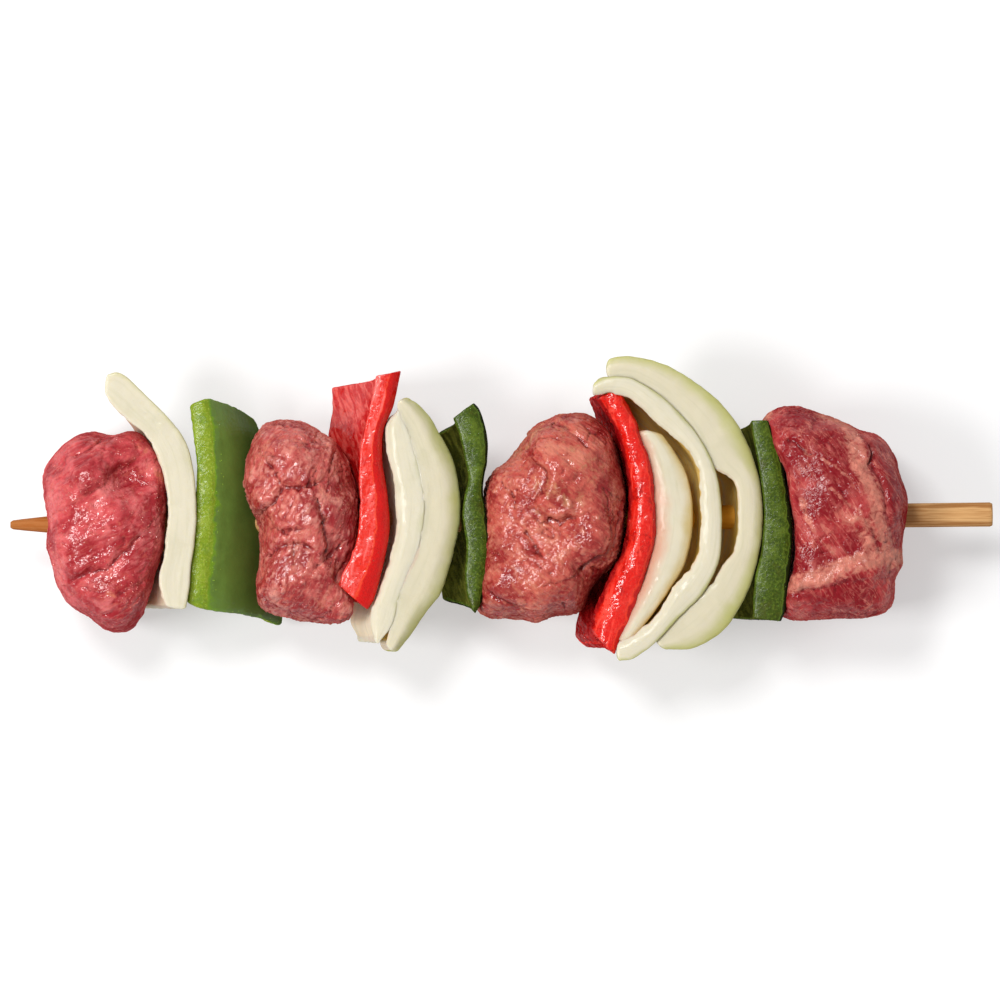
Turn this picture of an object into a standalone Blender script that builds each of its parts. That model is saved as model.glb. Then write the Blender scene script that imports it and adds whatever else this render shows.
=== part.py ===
"""Raw beef and vegetable kebab on a bamboo skewer.

The skewer lies along X with its point at -X, and the food is threaded on it piece by piece.
Pieces are laid out round the skewer's axis, in millimetres, and an empty at the end lifts the
whole kebab so that it stands on z = 0, centred on the origin.
"""

import math
from dataclasses import dataclass

import bmesh
import bpy
from mathutils import Matrix, Vector

MM = 0.001

# Driving dimensions, in millimetres.
SKEWER_LENGTH = 254.0
SKEWER_DIAMETER = 6.2
SKEWER_TAPER = ((0.0, 1.6), (3.5, 2.4), (11.0, 4.0), (22.0, SKEWER_DIAMETER))  # distance from point, diameter
SKEWER_END_CHAMFER = 0.4
SKEWER_SIDES = 20
AXIS_HEIGHT = 26.0  # skewer's axis above the table, so also the depth of beef under it
GAP = 0.3  # left between pieces that touch
HOLE_DIAMETER = SKEWER_DIAMETER + 2 * GAP
HOLE_SIDES = 12

LUMP_SUBDIVISIONS = 4
LUMP_SQUARENESS = 2.7  # exponent of the superellipse that a lump follows from side to top
LUMP_FLOOR = 2.0  # how much lower the underside would hang if the table did not flatten it

WALL_SEGMENTS_ALONG = 8
WALL_SEGMENTS_DOWN = 4
WALL_EDGE_ROUNDING = 0.9
BEVEL_ANGLE = math.radians(50)
SMOOTH_ANGLE = math.radians(40)

CUTTER_REACH = 40.0  # how far a cutter extends behind the wall that it stands for
CUTTER_OVERRUN = 0.5  # share of the wall's size that its cutter runs past each edge
LEAN_ENDS = 1.15  # below this share of the drop a wall's cutter goes straight down


@dataclass(frozen=True)
class Finish:
    """Colour and roughness of one kind of surface."""

    name: str
    colour: tuple
    roughness: float


BEEF_RED = Finish("beef_red", (0.50, 0.10, 0.10), 0.35)
BEEF_BROWN = Finish("beef_brown", (0.46, 0.15, 0.10), 0.45)
ONION = Finish("onion_flesh", (0.80, 0.71, 0.56), 0.35)
PEPPER_RED = Finish("pepper_red", (0.60, 0.03, 0.03), 0.25)
PEPPER_GREEN = Finish("pepper_green", (0.22, 0.33, 0.06), 0.30)
PEPPER_DARK_GREEN = Finish("pepper_dark_green", (0.06, 0.10, 0.02), 0.30)
BAMBOO = Finish("bamboo", (0.50, 0.29, 0.12), 0.60)


@dataclass(frozen=True)
class Lump:
    """A cube of meat: its outline seen from above, and what rises or sinks in its top."""

    name: str
    finish: Finish
    outline: tuple  # (x, y) round the piece, each seen from the middle at its own angle
    top: float  # height of the top above the skewer's axis
    bumps: tuple  # (x, y, height, radius), height below zero for a hollow

    @property
    def middle(self):
        xs = [x for x, _ in self.outline]
        ys = [y for _, y in self.outline]
        return (min(xs) + max(xs)) / 2, (min(ys) + max(ys)) / 2


@dataclass(frozen=True)
class Wall:
    """An onion layer or a pepper panel that hangs from its cut upper edge and curves under."""

    name: str
    finish: Finish
    crest: tuple  # (x, y) along the middle of the cut edge, from the +Y end
    thickness: float
    crest_height: float  # cut edge above the skewer's axis
    drop: float  # cut edge down to the foot
    lean: float  # how far the foot lies towards -X of the cut edge
    end_rise: float  # share of the drop and lean that is lost at the two ends
    lies_back: bool = False  # slopes away from its cut edge and steepens, where the others hang and tuck under


LUMPS = (
    Lump(
        "beef_1",
        BEEF_RED,
        (
            (-84.5, 4), (-85, 12), (-87, 19), (-90.5, 23.5), (-96, 24.5), (-101, 23), (-106, 24.5), (-112, 22.5),
            (-117, 17), (-118.5, 10), (-117.5, 2), (-118.5, -6), (-116, -14), (-111.5, -21.5), (-106, -27),
            (-99, -28), (-92.5, -23), (-87.5, -13), (-84.5, -4),
        ),
        22.0,
        ((-93, 12, -4.0, 6), (-106, 8, 1.5, 6), (-101, -8, -2.5, 6), (-100, -20, 2.0, 8)),
    ),
    Lump(
        "beef_2",
        BEEF_BROWN,
        (
            (-36.5, 0), (-38, 9), (-40.5, 17), (-43.5, 24), (-49, 27), (-56, 27), (-62.5, 24), (-65.5, 18),
            (-67, 11), (-65, 4), (-63, -4), (-63.5, -13), (-64, -20), (-57, -24.5), (-50, -26.5), (-42, -26.5),
            (-38, -17), (-36.5, -9),
        ),
        22.0,
        ((-56, 13, 2.0, 8), (-47, 2, 1.5, 9), (-58, 10, -2.0, 5), (-56, -16, 2.0, 8)),
    ),
    Lump(
        "beef_3",
        BEEF_BROWN,
        (
            (34.5, 1), (33.5, 9), (31, 16), (28, 23), (23, 29), (17, 28), (11, 26), (5, 21), (1, 16), (-5, 13),
            (-5.5, 4), (-4.5, -5), (-5, -14), (-6, -23), (1, -25.5), (9, -27.5), (17, -25), (24.5, -23.5),
            (28, -14), (33, -7),
        ),
        23.0,
        ((14, 18, 2.5, 9), (4, 9, -2.0, 6), (9, -3, -2.5, 7), (24, -5, 2.0, 6), (8, -18, 2.5, 9)),
    ),
    Lump(
        "beef_4",
        BEEF_RED,
        (
            (105.5, 1), (104.5, 9), (100.5, 17.5), (96, 22), (88, 25), (80, 28), (72.5, 29.5), (66.5, 26),
            (67, 13), (68, 0), (68, -13), (68, -24), (76, -27), (87, -27.5), (95, -27), (100, -23), (103, -15),
            (103.5, -6),
        ),
        24.0,
        ((86, 8, 1.5, 10), (95, 12, -1.5, 6), (98, 0, 1.5, 8), (88, -8, -1.5, 6), (86, -20, 1.5, 8)),
    ),
)

WALLS = (
    Wall(
        "onion_1",
        ONION,
        ((-99, 35), (-94, 30), (-87.5, 22.5), (-83.6, 14), (-82.4, 5), (-83.2, -4), (-84.6, -13), (-85.8, -22)),
        6.2, 17.0, 33.0, 8.0, 0.35,
    ),
    Wall(
        "green_pepper",
        PEPPER_GREEN,
        ((-76, 31), (-75.5, 22), (-75.3, 10), (-75.6, -2), (-77, -13), (-78, -21.5)),
        4.6, 15.0, 33.0, -16.0, 0.1, lies_back=True,
    ),
    Wall(
        "red_pepper_1",
        PEPPER_RED,
        ((-30, 36.5), (-32, 29), (-33.6, 21), (-34.2, 12), (-34.2, 2), (-34.6, -7), (-36.5, -15), (-39.5, -21)),
        4.8, 17.0, 31.0, 9.0, 0.1,
    ),
    Wall(
        "onion_2_inner",
        ONION,
        ((-28.2, 25.5), (-26.8, 19), (-25, 12), (-24.3, 4), (-24.5, -5), (-26, -13), (-28.5, -21), (-32, -29)),
        6.8, 17.0, 30.0, 9.0, 0.5,
    ),
    Wall(
        "onion_2_outer",
        ONION,
        ((-22.5, 30), (-19, 23.5), (-15.6, 15), (-14.2, 6), (-14.6, -4), (-16.8, -13), (-20.8, -22), (-26, -31)),
        6.8, 18.0, 34.0, 11.0, 0.5,
    ),
    Wall(
        "dark_green_pepper_1",
        PEPPER_DARK_GREEN,
        ((-7.8, 28.5), (-6.4, 19), (-6, 10), (-6.8, 4), (-6, -4), (-6, -12), (-6.7, -21)),
        4.6, 16.0, 30.0, 8.0, 0.05,
    ),
    Wall(
        "red_pepper_2",
        PEPPER_RED,
        ((28.5, 29), (32, 23), (35, 16.5), (36.8, 9), (37.2, 0), (36.2, -8), (33.6, -15), (30.5, -23), (27.5, -32)),
        5.2, 16.0, 31.0, 9.0, 0.15,
    ),
    Wall(
        "onion_3_inner",
        ONION,
        ((38, 21), (42, 18), (45, 12), (46.2, 4), (45.9, -4), (43.8, -11), (40, -18), (36, -24)),
        5.4, 17.0, 27.0, 10.0, 0.6,
    ),
    Wall(
        "onion_3_middle",
        ONION,
        (
            (31, 32.8), (36, 31), (42, 26.5), (48, 19.5), (52.2, 11), (53.9, 3), (53.6, -5), (51.2, -13.5),
            (46.8, -21), (42, -26.5), (37, -31), (31, -34.3),
        ),
        5.4, 18.0, 33.0, 14.0, 0.6,
    ),
    Wall(
        "onion_3_outer",
        ONION,
        (
            (30.5, 39), (39.5, 37.5), (46.5, 33.3), (53, 27), (58.3, 19.5), (62, 11), (63.6, 3), (63.4, -6),
            (61.2, -15), (57.3, -23), (52, -29), (45.5, -33),
        ),
        5.8, 18.0, 36.0, 15.0, 0.6,
    ),
    Wall(
        "dark_green_pepper_2",
        PEPPER_DARK_GREEN,
        ((66.8, 23), (69.2, 15), (71, 6), (71.8, -3), (71.4, -12), (70, -19.5), (68, -26)),
        4.8, 16.0, 30.0, 6.0, 0.05,
    ),
)

# A softer piece takes the shape of the wall beside it: (piece, wall, side of the wall that it lies on).
PRESSED = (
    ("beef_1", "onion_1", -1),
    ("beef_2", "green_pepper", 1),
    ("beef_2", "red_pepper_1", -1),
    ("beef_3", "dark_green_pepper_1", 1),
    ("beef_3", "red_pepper_2", -1),
    ("beef_4", "dark_green_pepper_2", 1),
    ("onion_2_inner", "onion_2_outer", -1),
    ("onion_2_inner", "red_pepper_1", 1),
    ("onion_3_inner", "onion_3_middle", -1),
    ("onion_3_inner", "red_pepper_2", 1),
    ("onion_3_middle", "red_pepper_2", 1),
    ("onion_3_middle", "onion_3_outer", -1),
)


def clear_scene():
    """Remove every object that the file opened with."""
    for obj in list(bpy.data.objects):
        bpy.data.objects.remove(obj, do_unlink=True)


def add_collection(name):
    collection = bpy.data.collections.new(name)
    bpy.context.scene.collection.children.link(collection)
    return collection


def material_for(finish):
    """The Principled BSDF of a finish, made once and shared by its pieces."""
    found = bpy.data.materials.get(finish.name)
    if found:
        return found
    material = bpy.data.materials.new(finish.name)
    material.use_nodes = True
    shader = material.node_tree.nodes["Principled BSDF"]
    shader.inputs["Base Color"].default_value = (*finish.colour, 1.0)
    shader.inputs["Roughness"].default_value = finish.roughness
    shader.inputs["Metallic"].default_value = 0.0
    return material


def add_object(name, bm, collection, finish=None):
    """Turn a bmesh into a named object of a collection."""
    mesh = bpy.data.meshes.new(name)
    bm.to_mesh(mesh)
    bm.free()
    obj = bpy.data.objects.new(name, mesh)
    collection.objects.link(obj)
    if finish:
        mesh.materials.append(material_for(finish))
        mesh.shade_smooth()
        mesh.set_sharp_from_angle(angle=SMOOTH_ANGLE)
    return obj


def add_cutter(name, bm, collection):
    bmesh.ops.recalc_face_normals(bm, faces=bm.faces)
    cutter = add_object(name, bm, collection)
    cutter.hide_render = True
    cutter.display_type = "WIRE"
    return cutter


def cut(obj, cutter):
    modifier = obj.modifiers.new("less_" + cutter.name, "BOOLEAN")
    modifier.operation = "DIFFERENCE"
    modifier.solver = "EXACT"
    modifier.object = cutter


def catmull_rom(points, share):
    """The point at a share of the way along a smooth curve; past an end it runs on straight."""
    spans = len(points) - 1
    place = share * spans
    span = min(max(int(math.floor(place)), 0), spans - 1)
    t = place - span
    p1, p2 = Vector(points[span]), Vector(points[span + 1])
    p0 = Vector(points[span - 1]) if span > 0 else 2 * p1 - p2
    p3 = Vector(points[span + 2]) if span < spans - 1 else 2 * p2 - p1
    if t < 0:
        return p1 + (p2 - p0) / 2 * t
    if t > 1:
        return p2 + (p3 - p1) / 2 * (t - 1)
    return (
        2 * p1 + (p2 - p0) * t + (2 * p0 - 5 * p1 + 4 * p2 - p3) * t**2 + (3 * p1 - p0 - 3 * p2 + p3) * t**3
    ) / 2


def wall_point(wall, along, down):
    """A point of the wall's middle surface; along and down run from 0 to 1 over the wall itself."""
    x, y = catmull_rom(wall.crest, along)
    from_middle = min(abs(2 * along - 1), 1.0)
    depth = 1 - wall.end_rise * from_middle**3
    under = min(max(down, 0.0), LEAN_ENDS)
    shift = 1 - (1 - under) ** 2 if wall.lies_back else under**2
    x -= wall.lean * depth * shift
    z = wall.crest_height - wall.drop * depth * down
    return Vector((x, y, z)) * MM


def wall_grid(wall, overrun=0.0):
    """The wall's middle surface as an open grid, run past its edges by a share of its size."""
    size = 1 + 2 * overrun
    bm = bmesh.new()
    bmesh.ops.create_grid(
        bm,
        x_segments=round(WALL_SEGMENTS_ALONG * size),
        y_segments=round(WALL_SEGMENTS_DOWN * size),
        size=0.5,
    )
    for vert in bm.verts:
        along = (vert.co.x + 0.5) * size - overrun
        down = (vert.co.y + 0.5) * size - overrun
        vert.co = wall_point(wall, along, down)
    bm.normal_update()
    return bm


def build_wall(wall, collection):
    obj = add_object(wall.name, wall_grid(wall), collection, wall.finish)
    solidify = obj.modifiers.new("thickness", "SOLIDIFY")
    solidify.thickness = wall.thickness * MM
    solidify.offset = 0.0
    solidify.use_even_offset = True
    bevel = obj.modifiers.new("rounded_edges", "BEVEL")
    bevel.width = WALL_EDGE_ROUNDING * MM
    bevel.segments = 1
    bevel.limit_method = "ANGLE"
    bevel.angle_limit = BEVEL_ANGLE
    return obj


def build_wall_cutter(wall, side, collection):
    """Everything behind the wall's face on one side, for cutting a piece that is pressed on it."""
    bm = wall_grid(wall, CUTTER_OVERRUN)
    stand_off = (wall.thickness / 2 + GAP) * MM
    moves = [
        (vert, vert.normal * math.copysign(side, side * vert.normal.x) * vert.calc_shell_factor())
        for vert in bm.verts
    ]
    for vert, outwards in moves:
        vert.co += outwards * stand_off
    grown = bmesh.ops.extrude_face_region(bm, geom=bm.faces[:])
    moved = [item for item in grown["geom"] if isinstance(item, bmesh.types.BMVert)]
    bmesh.ops.translate(bm, verts=moved, vec=(-side * CUTTER_REACH * MM, 0, 0))
    return add_cutter(f"space_of_{wall.name}_{'left' if side < 0 else 'right'}", bm, collection)


def outline_radius(lump, angle):
    """How far the lump's outline lies from its middle in one direction, by a smooth periodic curve."""
    cx, cy = lump.middle
    polar = sorted((math.atan2(y - cy, x - cx), math.hypot(x - cx, y - cy)) for x, y in lump.outline)
    last = len(polar) - 1
    ring = [(polar[last][0] - math.tau, polar[last][1]), *polar, (polar[0][0] + math.tau, polar[0][1])]
    for (start, r_start), (end, r_end) in zip(ring, ring[1:]):
        if start <= angle <= end:
            share = (angle - start) / (end - start)
            eased = share * share * (3 - 2 * share)
            return r_start + (r_end - r_start) * (eased + share) / 2
    return ring[0][1]


def lump_point(lump, direction):
    """Where a lump's surface lies in one direction from its middle."""
    cx, cy = lump.middle
    level = math.hypot(direction.x, direction.y)
    n = LUMP_SQUARENESS
    scale = (level**n + abs(direction.z) ** n) ** (-1 / n)
    radius = outline_radius(lump, math.atan2(direction.y, direction.x)) * level * scale
    heading = Vector((direction.x, direction.y)).normalized() if level > 0 else Vector((0, 0))
    x, y = cx + heading.x * radius, cy + heading.y * radius
    height = lump.top if direction.z > 0 else AXIS_HEIGHT + LUMP_FLOOR
    z = direction.z * scale * height
    if direction.z > 0:
        raised = sum(h * math.exp(-((x - bx) ** 2 + (y - by) ** 2) / r**2) for bx, by, h, r in lump.bumps)
        z += raised * direction.z * scale
    return Vector((x, y, max(z, -AXIS_HEIGHT))) * MM


def build_lump(lump, collection):
    bm = bmesh.new()
    bmesh.ops.create_icosphere(bm, subdivisions=LUMP_SUBDIVISIONS, radius=1.0)
    for vert in bm.verts:
        vert.co = lump_point(lump, vert.co.normalized())
    return add_object(lump.name, bm, collection, lump.finish)


def build_skewer(collection):
    """A turned stick: pointed at -X, cut square at +X."""
    half = SKEWER_LENGTH / 2
    radius = SKEWER_DIAMETER / 2
    profile = [(-half, 0.0)]
    profile += [(distance - half, diameter / 2) for distance, diameter in SKEWER_TAPER]
    profile += [(half - SKEWER_END_CHAMFER, radius), (half, radius - SKEWER_END_CHAMFER), (half, 0.0)]
    bm = bmesh.new()
    verts = [bm.verts.new((x * MM, 0, z * MM)) for x, z in profile]
    for start, end in zip(verts, verts[1:]):
        bm.edges.new((start, end))
    obj = add_object("skewer", bm, collection, BAMBOO)
    turn = obj.modifiers.new("turned", "SCREW")
    turn.axis = "X"
    turn.steps = SKEWER_SIDES
    turn.render_steps = SKEWER_SIDES
    turn.use_normal_flip = True
    turn.use_merge_vertices = True
    turn.merge_threshold = 0.00001
    return obj


def build_hole_cutter(collection):
    bm = bmesh.new()
    bmesh.ops.create_cone(
        bm,
        cap_ends=True,
        segments=HOLE_SIDES,
        radius1=HOLE_DIAMETER / 2 * MM,
        radius2=HOLE_DIAMETER / 2 * MM,
        depth=(SKEWER_LENGTH + CUTTER_REACH) * MM,
        matrix=Matrix.Rotation(math.pi / 2, 4, "Y"),
    )
    return add_cutter("skewer_hole", bm, collection)


def stand_on_table(pieces):
    """Parent the pieces to an empty that puts the middle of their underside on the origin."""
    bpy.context.view_layer.update()
    graph = bpy.context.evaluated_depsgraph_get()
    corners = [
        piece.matrix_world @ Vector(corner)
        for piece in (obj.evaluated_get(graph) for obj in pieces)
        for corner in piece.bound_box
    ]
    low = [min(corner[axis] for corner in corners) for axis in range(3)]
    high = [max(corner[axis] for corner in corners) for axis in range(3)]
    origin = bpy.data.objects.new("kebab_origin", None)
    bpy.context.scene.collection.objects.link(origin)
    for piece in pieces:
        piece.parent = origin
    origin.location = (-(low[0] + high[0]) / 2, -(low[1] + high[1]) / 2, -low[2])


def main():
    clear_scene()
    kebab = add_collection("beef_kebab_skewer")
    cutters = add_collection("cutters")

    pieces = {"skewer": build_skewer(kebab)}
    for wall in WALLS:
        pieces[wall.name] = build_wall(wall, kebab)
    for lump in LUMPS:
        pieces[lump.name] = build_lump(lump, kebab)

    walls = {wall.name: wall for wall in WALLS}
    for piece, wall, side in PRESSED:
        cut(pieces[piece], build_wall_cutter(walls[wall], side, cutters))
    hole = build_hole_cutter(cutters)
    for name, piece in pieces.items():
        if name != "skewer":
            cut(piece, hole)

    # The cutters are parented too, so that each stays in place relative to what it cuts.
    bpy.context.view_layer.update()
    stand_on_table(list(pieces.values()))
    origin = bpy.data.objects["kebab_origin"]
    for cutter in cutters.objects:
        cutter.parent = origin


if __name__ == "__main__":
    main()
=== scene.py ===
"""Looks of a raw beef and vegetable kebab on a bamboo skewer.

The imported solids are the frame. Every piece is modelled again in its solid's place: the beef from
its solid, remeshed and then folded, grained and streaked with fat, and the onion layers and pepper
panels as walls with a cut edge, a skin and an inner face. Lengths in the classes are millimetres
measured from the skewer's axis, and StickFrame turns them into the frame's metres.
"""

import logging
import math
from collections.abc import Sequence
from dataclasses import dataclass, field
from enum import Enum

import bmesh
import bpy
import numpy as np
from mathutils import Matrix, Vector

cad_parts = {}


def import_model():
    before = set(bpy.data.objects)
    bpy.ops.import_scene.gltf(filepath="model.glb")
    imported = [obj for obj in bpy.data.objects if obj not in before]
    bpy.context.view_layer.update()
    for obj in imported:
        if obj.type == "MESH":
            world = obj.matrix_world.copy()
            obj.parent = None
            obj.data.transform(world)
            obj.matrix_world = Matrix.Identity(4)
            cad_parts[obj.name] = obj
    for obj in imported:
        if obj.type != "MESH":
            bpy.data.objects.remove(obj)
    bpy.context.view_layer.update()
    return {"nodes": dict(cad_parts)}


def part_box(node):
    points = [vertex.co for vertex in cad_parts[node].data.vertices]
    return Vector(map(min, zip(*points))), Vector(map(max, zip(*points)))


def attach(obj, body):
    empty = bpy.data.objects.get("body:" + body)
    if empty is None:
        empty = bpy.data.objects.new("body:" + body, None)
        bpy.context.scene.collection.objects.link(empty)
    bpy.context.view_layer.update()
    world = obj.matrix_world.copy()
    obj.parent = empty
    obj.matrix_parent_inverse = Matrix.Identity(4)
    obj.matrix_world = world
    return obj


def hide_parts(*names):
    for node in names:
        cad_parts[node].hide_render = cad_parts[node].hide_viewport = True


MM = 0.001
SAME_POINT = 0.001 * MM  # points of a solid that are nearer than this are one
WELD = 0.03 * MM  # points at a closed end that are nearer than this are joined
SLIVER = 0.005 * MM  # faces thinner than this are taken out
SPAN_STEPS = 24  # points that a smooth path has between two of its own
EDGE_POINTS = 400  # points on an outline or an edge of a cut
JUICE_IOR = 1.45
STEEP_FILM = 0.04  # the share of the film of juice that stays on a steep face
LOG = logging.getLogger("kebab")

Point = tuple[float, float]
Colour = tuple[float, float, float]
Ends = tuple[float, float, float]  # a value at the +Y end, in the middle and at the -Y end


def srgb(red: int, green: int, blue: int) -> Colour:
    """A linear colour from 8-bit display values.

    Args:
        red: Red, from 0 to 255.
        green: Green.
        blue: Blue.

    Returns:
        The colour as the shaders take it.
    """

    def linear(value: int) -> float:
        """One channel as a share of full light."""
        share = value / 255
        return share / 12.92 if share <= 0.04045 else ((share + 0.055) / 1.055) ** 2.4

    return linear(red), linear(green), linear(blue)


def shade(colour: Colour, factor: float) -> Colour:
    """A colour made darker or lighter."""
    return tuple(channel * factor for channel in colour)


# ---------------------------------------------------------------- shared geometry


@dataclass(frozen=True)
class StickFrame:
    """Where the skewer's axis runs in the frame.

    Attributes:
        y: The axis's place along Y, in metres.
        z: The axis's height, in metres.
    """

    y: float
    z: float

    @classmethod
    def of_node(cls, node: str) -> "StickFrame":
        """The frame of a CAD node that lies along X."""
        low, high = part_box(node)
        return cls((low.y + high.y) / 2, (low.z + high.z) / 2)

    def place(self, points: np.ndarray) -> np.ndarray:
        """Metres in the frame from millimetres round the axis."""
        return points * MM + np.array((0.0, self.y, self.z))

    def local(self, points: np.ndarray) -> np.ndarray:
        """Millimetres round the axis from metres in the frame."""
        return (points - np.array((0.0, self.y, self.z))) / MM


class Noise:
    """Seeded noise on points: smooth waves, ridges and rounded cells."""

    SIDE = 256
    SHIFT = 17.3  # from one layer to the next, so that they don't line up
    JITTER = 0.45  # how far a cushion's middle strays from its cell's
    SHARP = 1.6  # how steeply a cushion rises from the crease

    def __init__(self, seed: int) -> None:
        """Draw the tables that all the noise is read from.

        Args:
            seed: The same seed gives the same noise.
        """
        draw = np.random.default_rng(seed)
        self._order = draw.permutation(self.SIDE)
        self._value = draw.uniform(-1.0, 1.0, (self.SIDE, 3))

    def _pick(self, cell: np.ndarray) -> np.ndarray:
        """The table row of each grid cell.

        Args:
            cell: The cell's whole numbers along X, Y and Z, on the last axis.

        Returns:
            The row of each.
        """
        found = self._order[cell[..., 0] % self.SIDE]
        found = self._order[(found + cell[..., 1]) % self.SIDE]
        return self._order[(found + cell[..., 2]) % self.SIDE]

    def smooth(self, points: np.ndarray) -> np.ndarray:
        """Waves from -1 to 1 with one swell in about each unit.

        Args:
            points: The points, one in each row.

        Returns:
            The height of the waves at each point.
        """
        base = np.floor(points).astype(int)
        share = points - base
        share = share**3 * (share * (share * 6 - 15) + 10)
        total = np.zeros(len(points))
        for corner in np.ndindex(2, 2, 2):
            weight = np.where(corner, share, 1 - share).prod(axis=1)
            total += weight * self._value[self._pick(base + corner), 0]
        return total

    def layered(self, points: np.ndarray, layers: int = 3) -> np.ndarray:
        """Waves with finer ones on top, each half as strong as the last.

        Args:
            points: The points, one in each row.
            layers: How many waves lie on one another.

        Returns:
            The height at each point, from about -1 to 1.
        """
        total = np.zeros(len(points))
        for layer in range(layers):
            total += self.smooth(points * 2**layer + self.SHIFT * layer) / 2**layer
        return total / (2 - 2.0 ** (1 - layers))

    def vectors(self, points: np.ndarray) -> np.ndarray:
        """A smooth push along X, Y and Z for each point."""
        return np.column_stack([self.layered(points + shift, 2) for shift in (0.0, 31.7, 67.1)])

    def lines(self, points: np.ndarray, width: float) -> np.ndarray:
        """Thin wandering lines: 1 on a line and 0 away from it."""
        return np.exp(-((self.layered(points, 2) / width) ** 2))

    def cells(self, points: np.ndarray) -> np.ndarray:
        """Rounded cushions, 1 in the middle of each and 0 in the creases between them.

        Args:
            points: The points, one in each row.

        Returns:
            The height of the cushions at each point.
        """
        base = np.floor(points).astype(int)
        nearest = np.full(len(points), 9.0)
        second = np.full(len(points), 9.0)
        for step in np.ndindex(3, 3, 3):
            cell = base + np.array(step) - 1
            middle = cell + 0.5 + self.JITTER * self._value[self._pick(cell)]
            distance = np.linalg.norm(points - middle, axis=1)
            second = np.minimum(second, np.maximum(nearest, distance))
            nearest = np.minimum(nearest, distance)
        return np.clip((second - nearest) * self.SHARP, 0, 1)


def ease(values: np.ndarray, low: float, high: float) -> np.ndarray:
    """A smooth step from 0 at low to 1 at high."""
    share = np.clip((values - low) / (high - low), 0, 1)
    return share * share * (3 - 2 * share)


def smooth_path(points: Sequence[Point], count: int) -> np.ndarray:
    """A Catmull-Rom curve through some points.

    Args:
        points: The points that it passes through.
        count: How many points to return, evenly spread along it.

    Returns:
        The curve's points, one in each row.
    """
    knots = np.array(points, float)
    knots = np.vstack([2 * knots[0] - knots[1], knots, 2 * knots[-1] - knots[-2]])
    fine = []
    for start in range(len(knots) - 3):
        p0, p1, p2, p3 = knots[start : start + 4]
        bend, kick = 2 * p0 - 5 * p1 + 4 * p2 - p3, 3 * (p1 - p2) + p3 - p0
        for t in np.linspace(0, 1, SPAN_STEPS, endpoint=False):
            fine.append((2 * p1 + (p2 - p0) * t + bend * t**2 + kick * t**3) / 2)
    fine.append(knots[-2])
    dense = np.array(fine)
    gone = np.concatenate([[0], np.cumsum(np.linalg.norm(np.diff(dense, axis=0), axis=1))])
    wanted = np.linspace(0, gone[-1], count)
    return np.column_stack([np.interp(wanted, gone, dense[:, axis]) for axis in range(2)])


def from_path(
    points: np.ndarray, path: Sequence[Point]
) -> tuple[np.ndarray, np.ndarray, np.ndarray]:
    """How each point lies to a path in plan.

    Args:
        points: Points whose first two columns are x and y.
        path: The path's own points.

    Returns:
        The distance from the path, the share of the way along it, and the side, 1 on its left.
    """
    line = smooth_path(path, 4 * len(path))
    distance = np.full(len(points), 1e9)
    along = np.zeros(len(points))
    side = np.ones(len(points))
    for index, (start, end) in enumerate(zip(line, line[1:])):
        run = end - start
        offset = points[:, :2] - start
        share = np.clip(offset @ run / (run @ run), 0, 1)
        gap = offset - share[:, None] * run
        here = np.hypot(gap[:, 0], gap[:, 1])
        closer = here < distance
        distance = np.where(closer, here, distance)
        along = np.where(closer, (index + share) / (len(line) - 1), along)
        left = np.where(run[0] * offset[:, 1] - run[1] * offset[:, 0] > 0, 1.0, -1.0)
        side = np.where(closer, left, side)
    return distance, along, side


def quadratic(ends: Ends, along: np.ndarray) -> np.ndarray:
    """The smooth curve through a value at the start, in the middle and at the end.

    Args:
        ends: The three values.
        along: Shares of the way, from 0 to 1.

    Returns:
        The value at each share.
    """
    start, middle, end = ends
    first, last = (1 - along) * (1 - 2 * along), along * (2 * along - 1)
    return start * first + 4 * middle * along * (1 - along) + end * last


def add_mesh(name: str, points: np.ndarray, faces: list[tuple[int, ...]]) -> bpy.types.Object:
    """A smooth-shaded object at the origin from points in metres and its faces.

    Args:
        name: The object's name and its mesh's.
        points: The points, one in each row.
        faces: The points of each face.

    Returns:
        The object.
    """
    mesh = bpy.data.meshes.new(name)
    mesh.from_pydata(points.tolist(), [], faces)
    mesh.validate()
    obj = bpy.data.objects.new(name, mesh)
    bpy.context.scene.collection.objects.link(obj)
    mesh.shade_smooth()
    return obj


def ring_faces(rings: int, count: int) -> list[tuple[int, ...]]:
    """The quads between rings of points that follow one another.

    Args:
        rings: How many rings there are.
        count: How many points a ring has.

    Returns:
        The points of each face.
    """
    faces = []
    for row in range(rings - 1):
        for spot in range(count):
            here, beside = row * count + spot, row * count + (spot + 1) % count
            faces.append((here, beside, beside + count, here + count))
    return faces


def close_ends(obj: bpy.types.Object) -> None:
    """Join the points that meet at the two ends, and turn the faces outwards.

    Args:
        obj: A tube whose end rings have shrunk to a line or a point.
    """
    work = bmesh.new()
    work.from_mesh(obj.data)
    bmesh.ops.remove_doubles(work, verts=work.verts, dist=WELD)
    bmesh.ops.dissolve_degenerate(work, edges=work.edges, dist=SLIVER)
    bmesh.ops.recalc_face_normals(work, faces=work.faces)
    work.to_mesh(obj.data)
    work.free()
    obj.data.shade_smooth()


def settle(obj: bpy.types.Object) -> bpy.types.Object:
    """Turn an object and its modifiers into a plain mesh of the same name.

    Args:
        obj: The object, with its modifiers live.

    Returns:
        The same object.
    """
    graph = bpy.context.evaluated_depsgraph_get()
    mesh = bpy.data.meshes.new_from_object(obj.evaluated_get(graph), depsgraph=graph)
    obj.modifiers.clear()
    obj.data = mesh
    mesh.name = obj.name
    return obj


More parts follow.
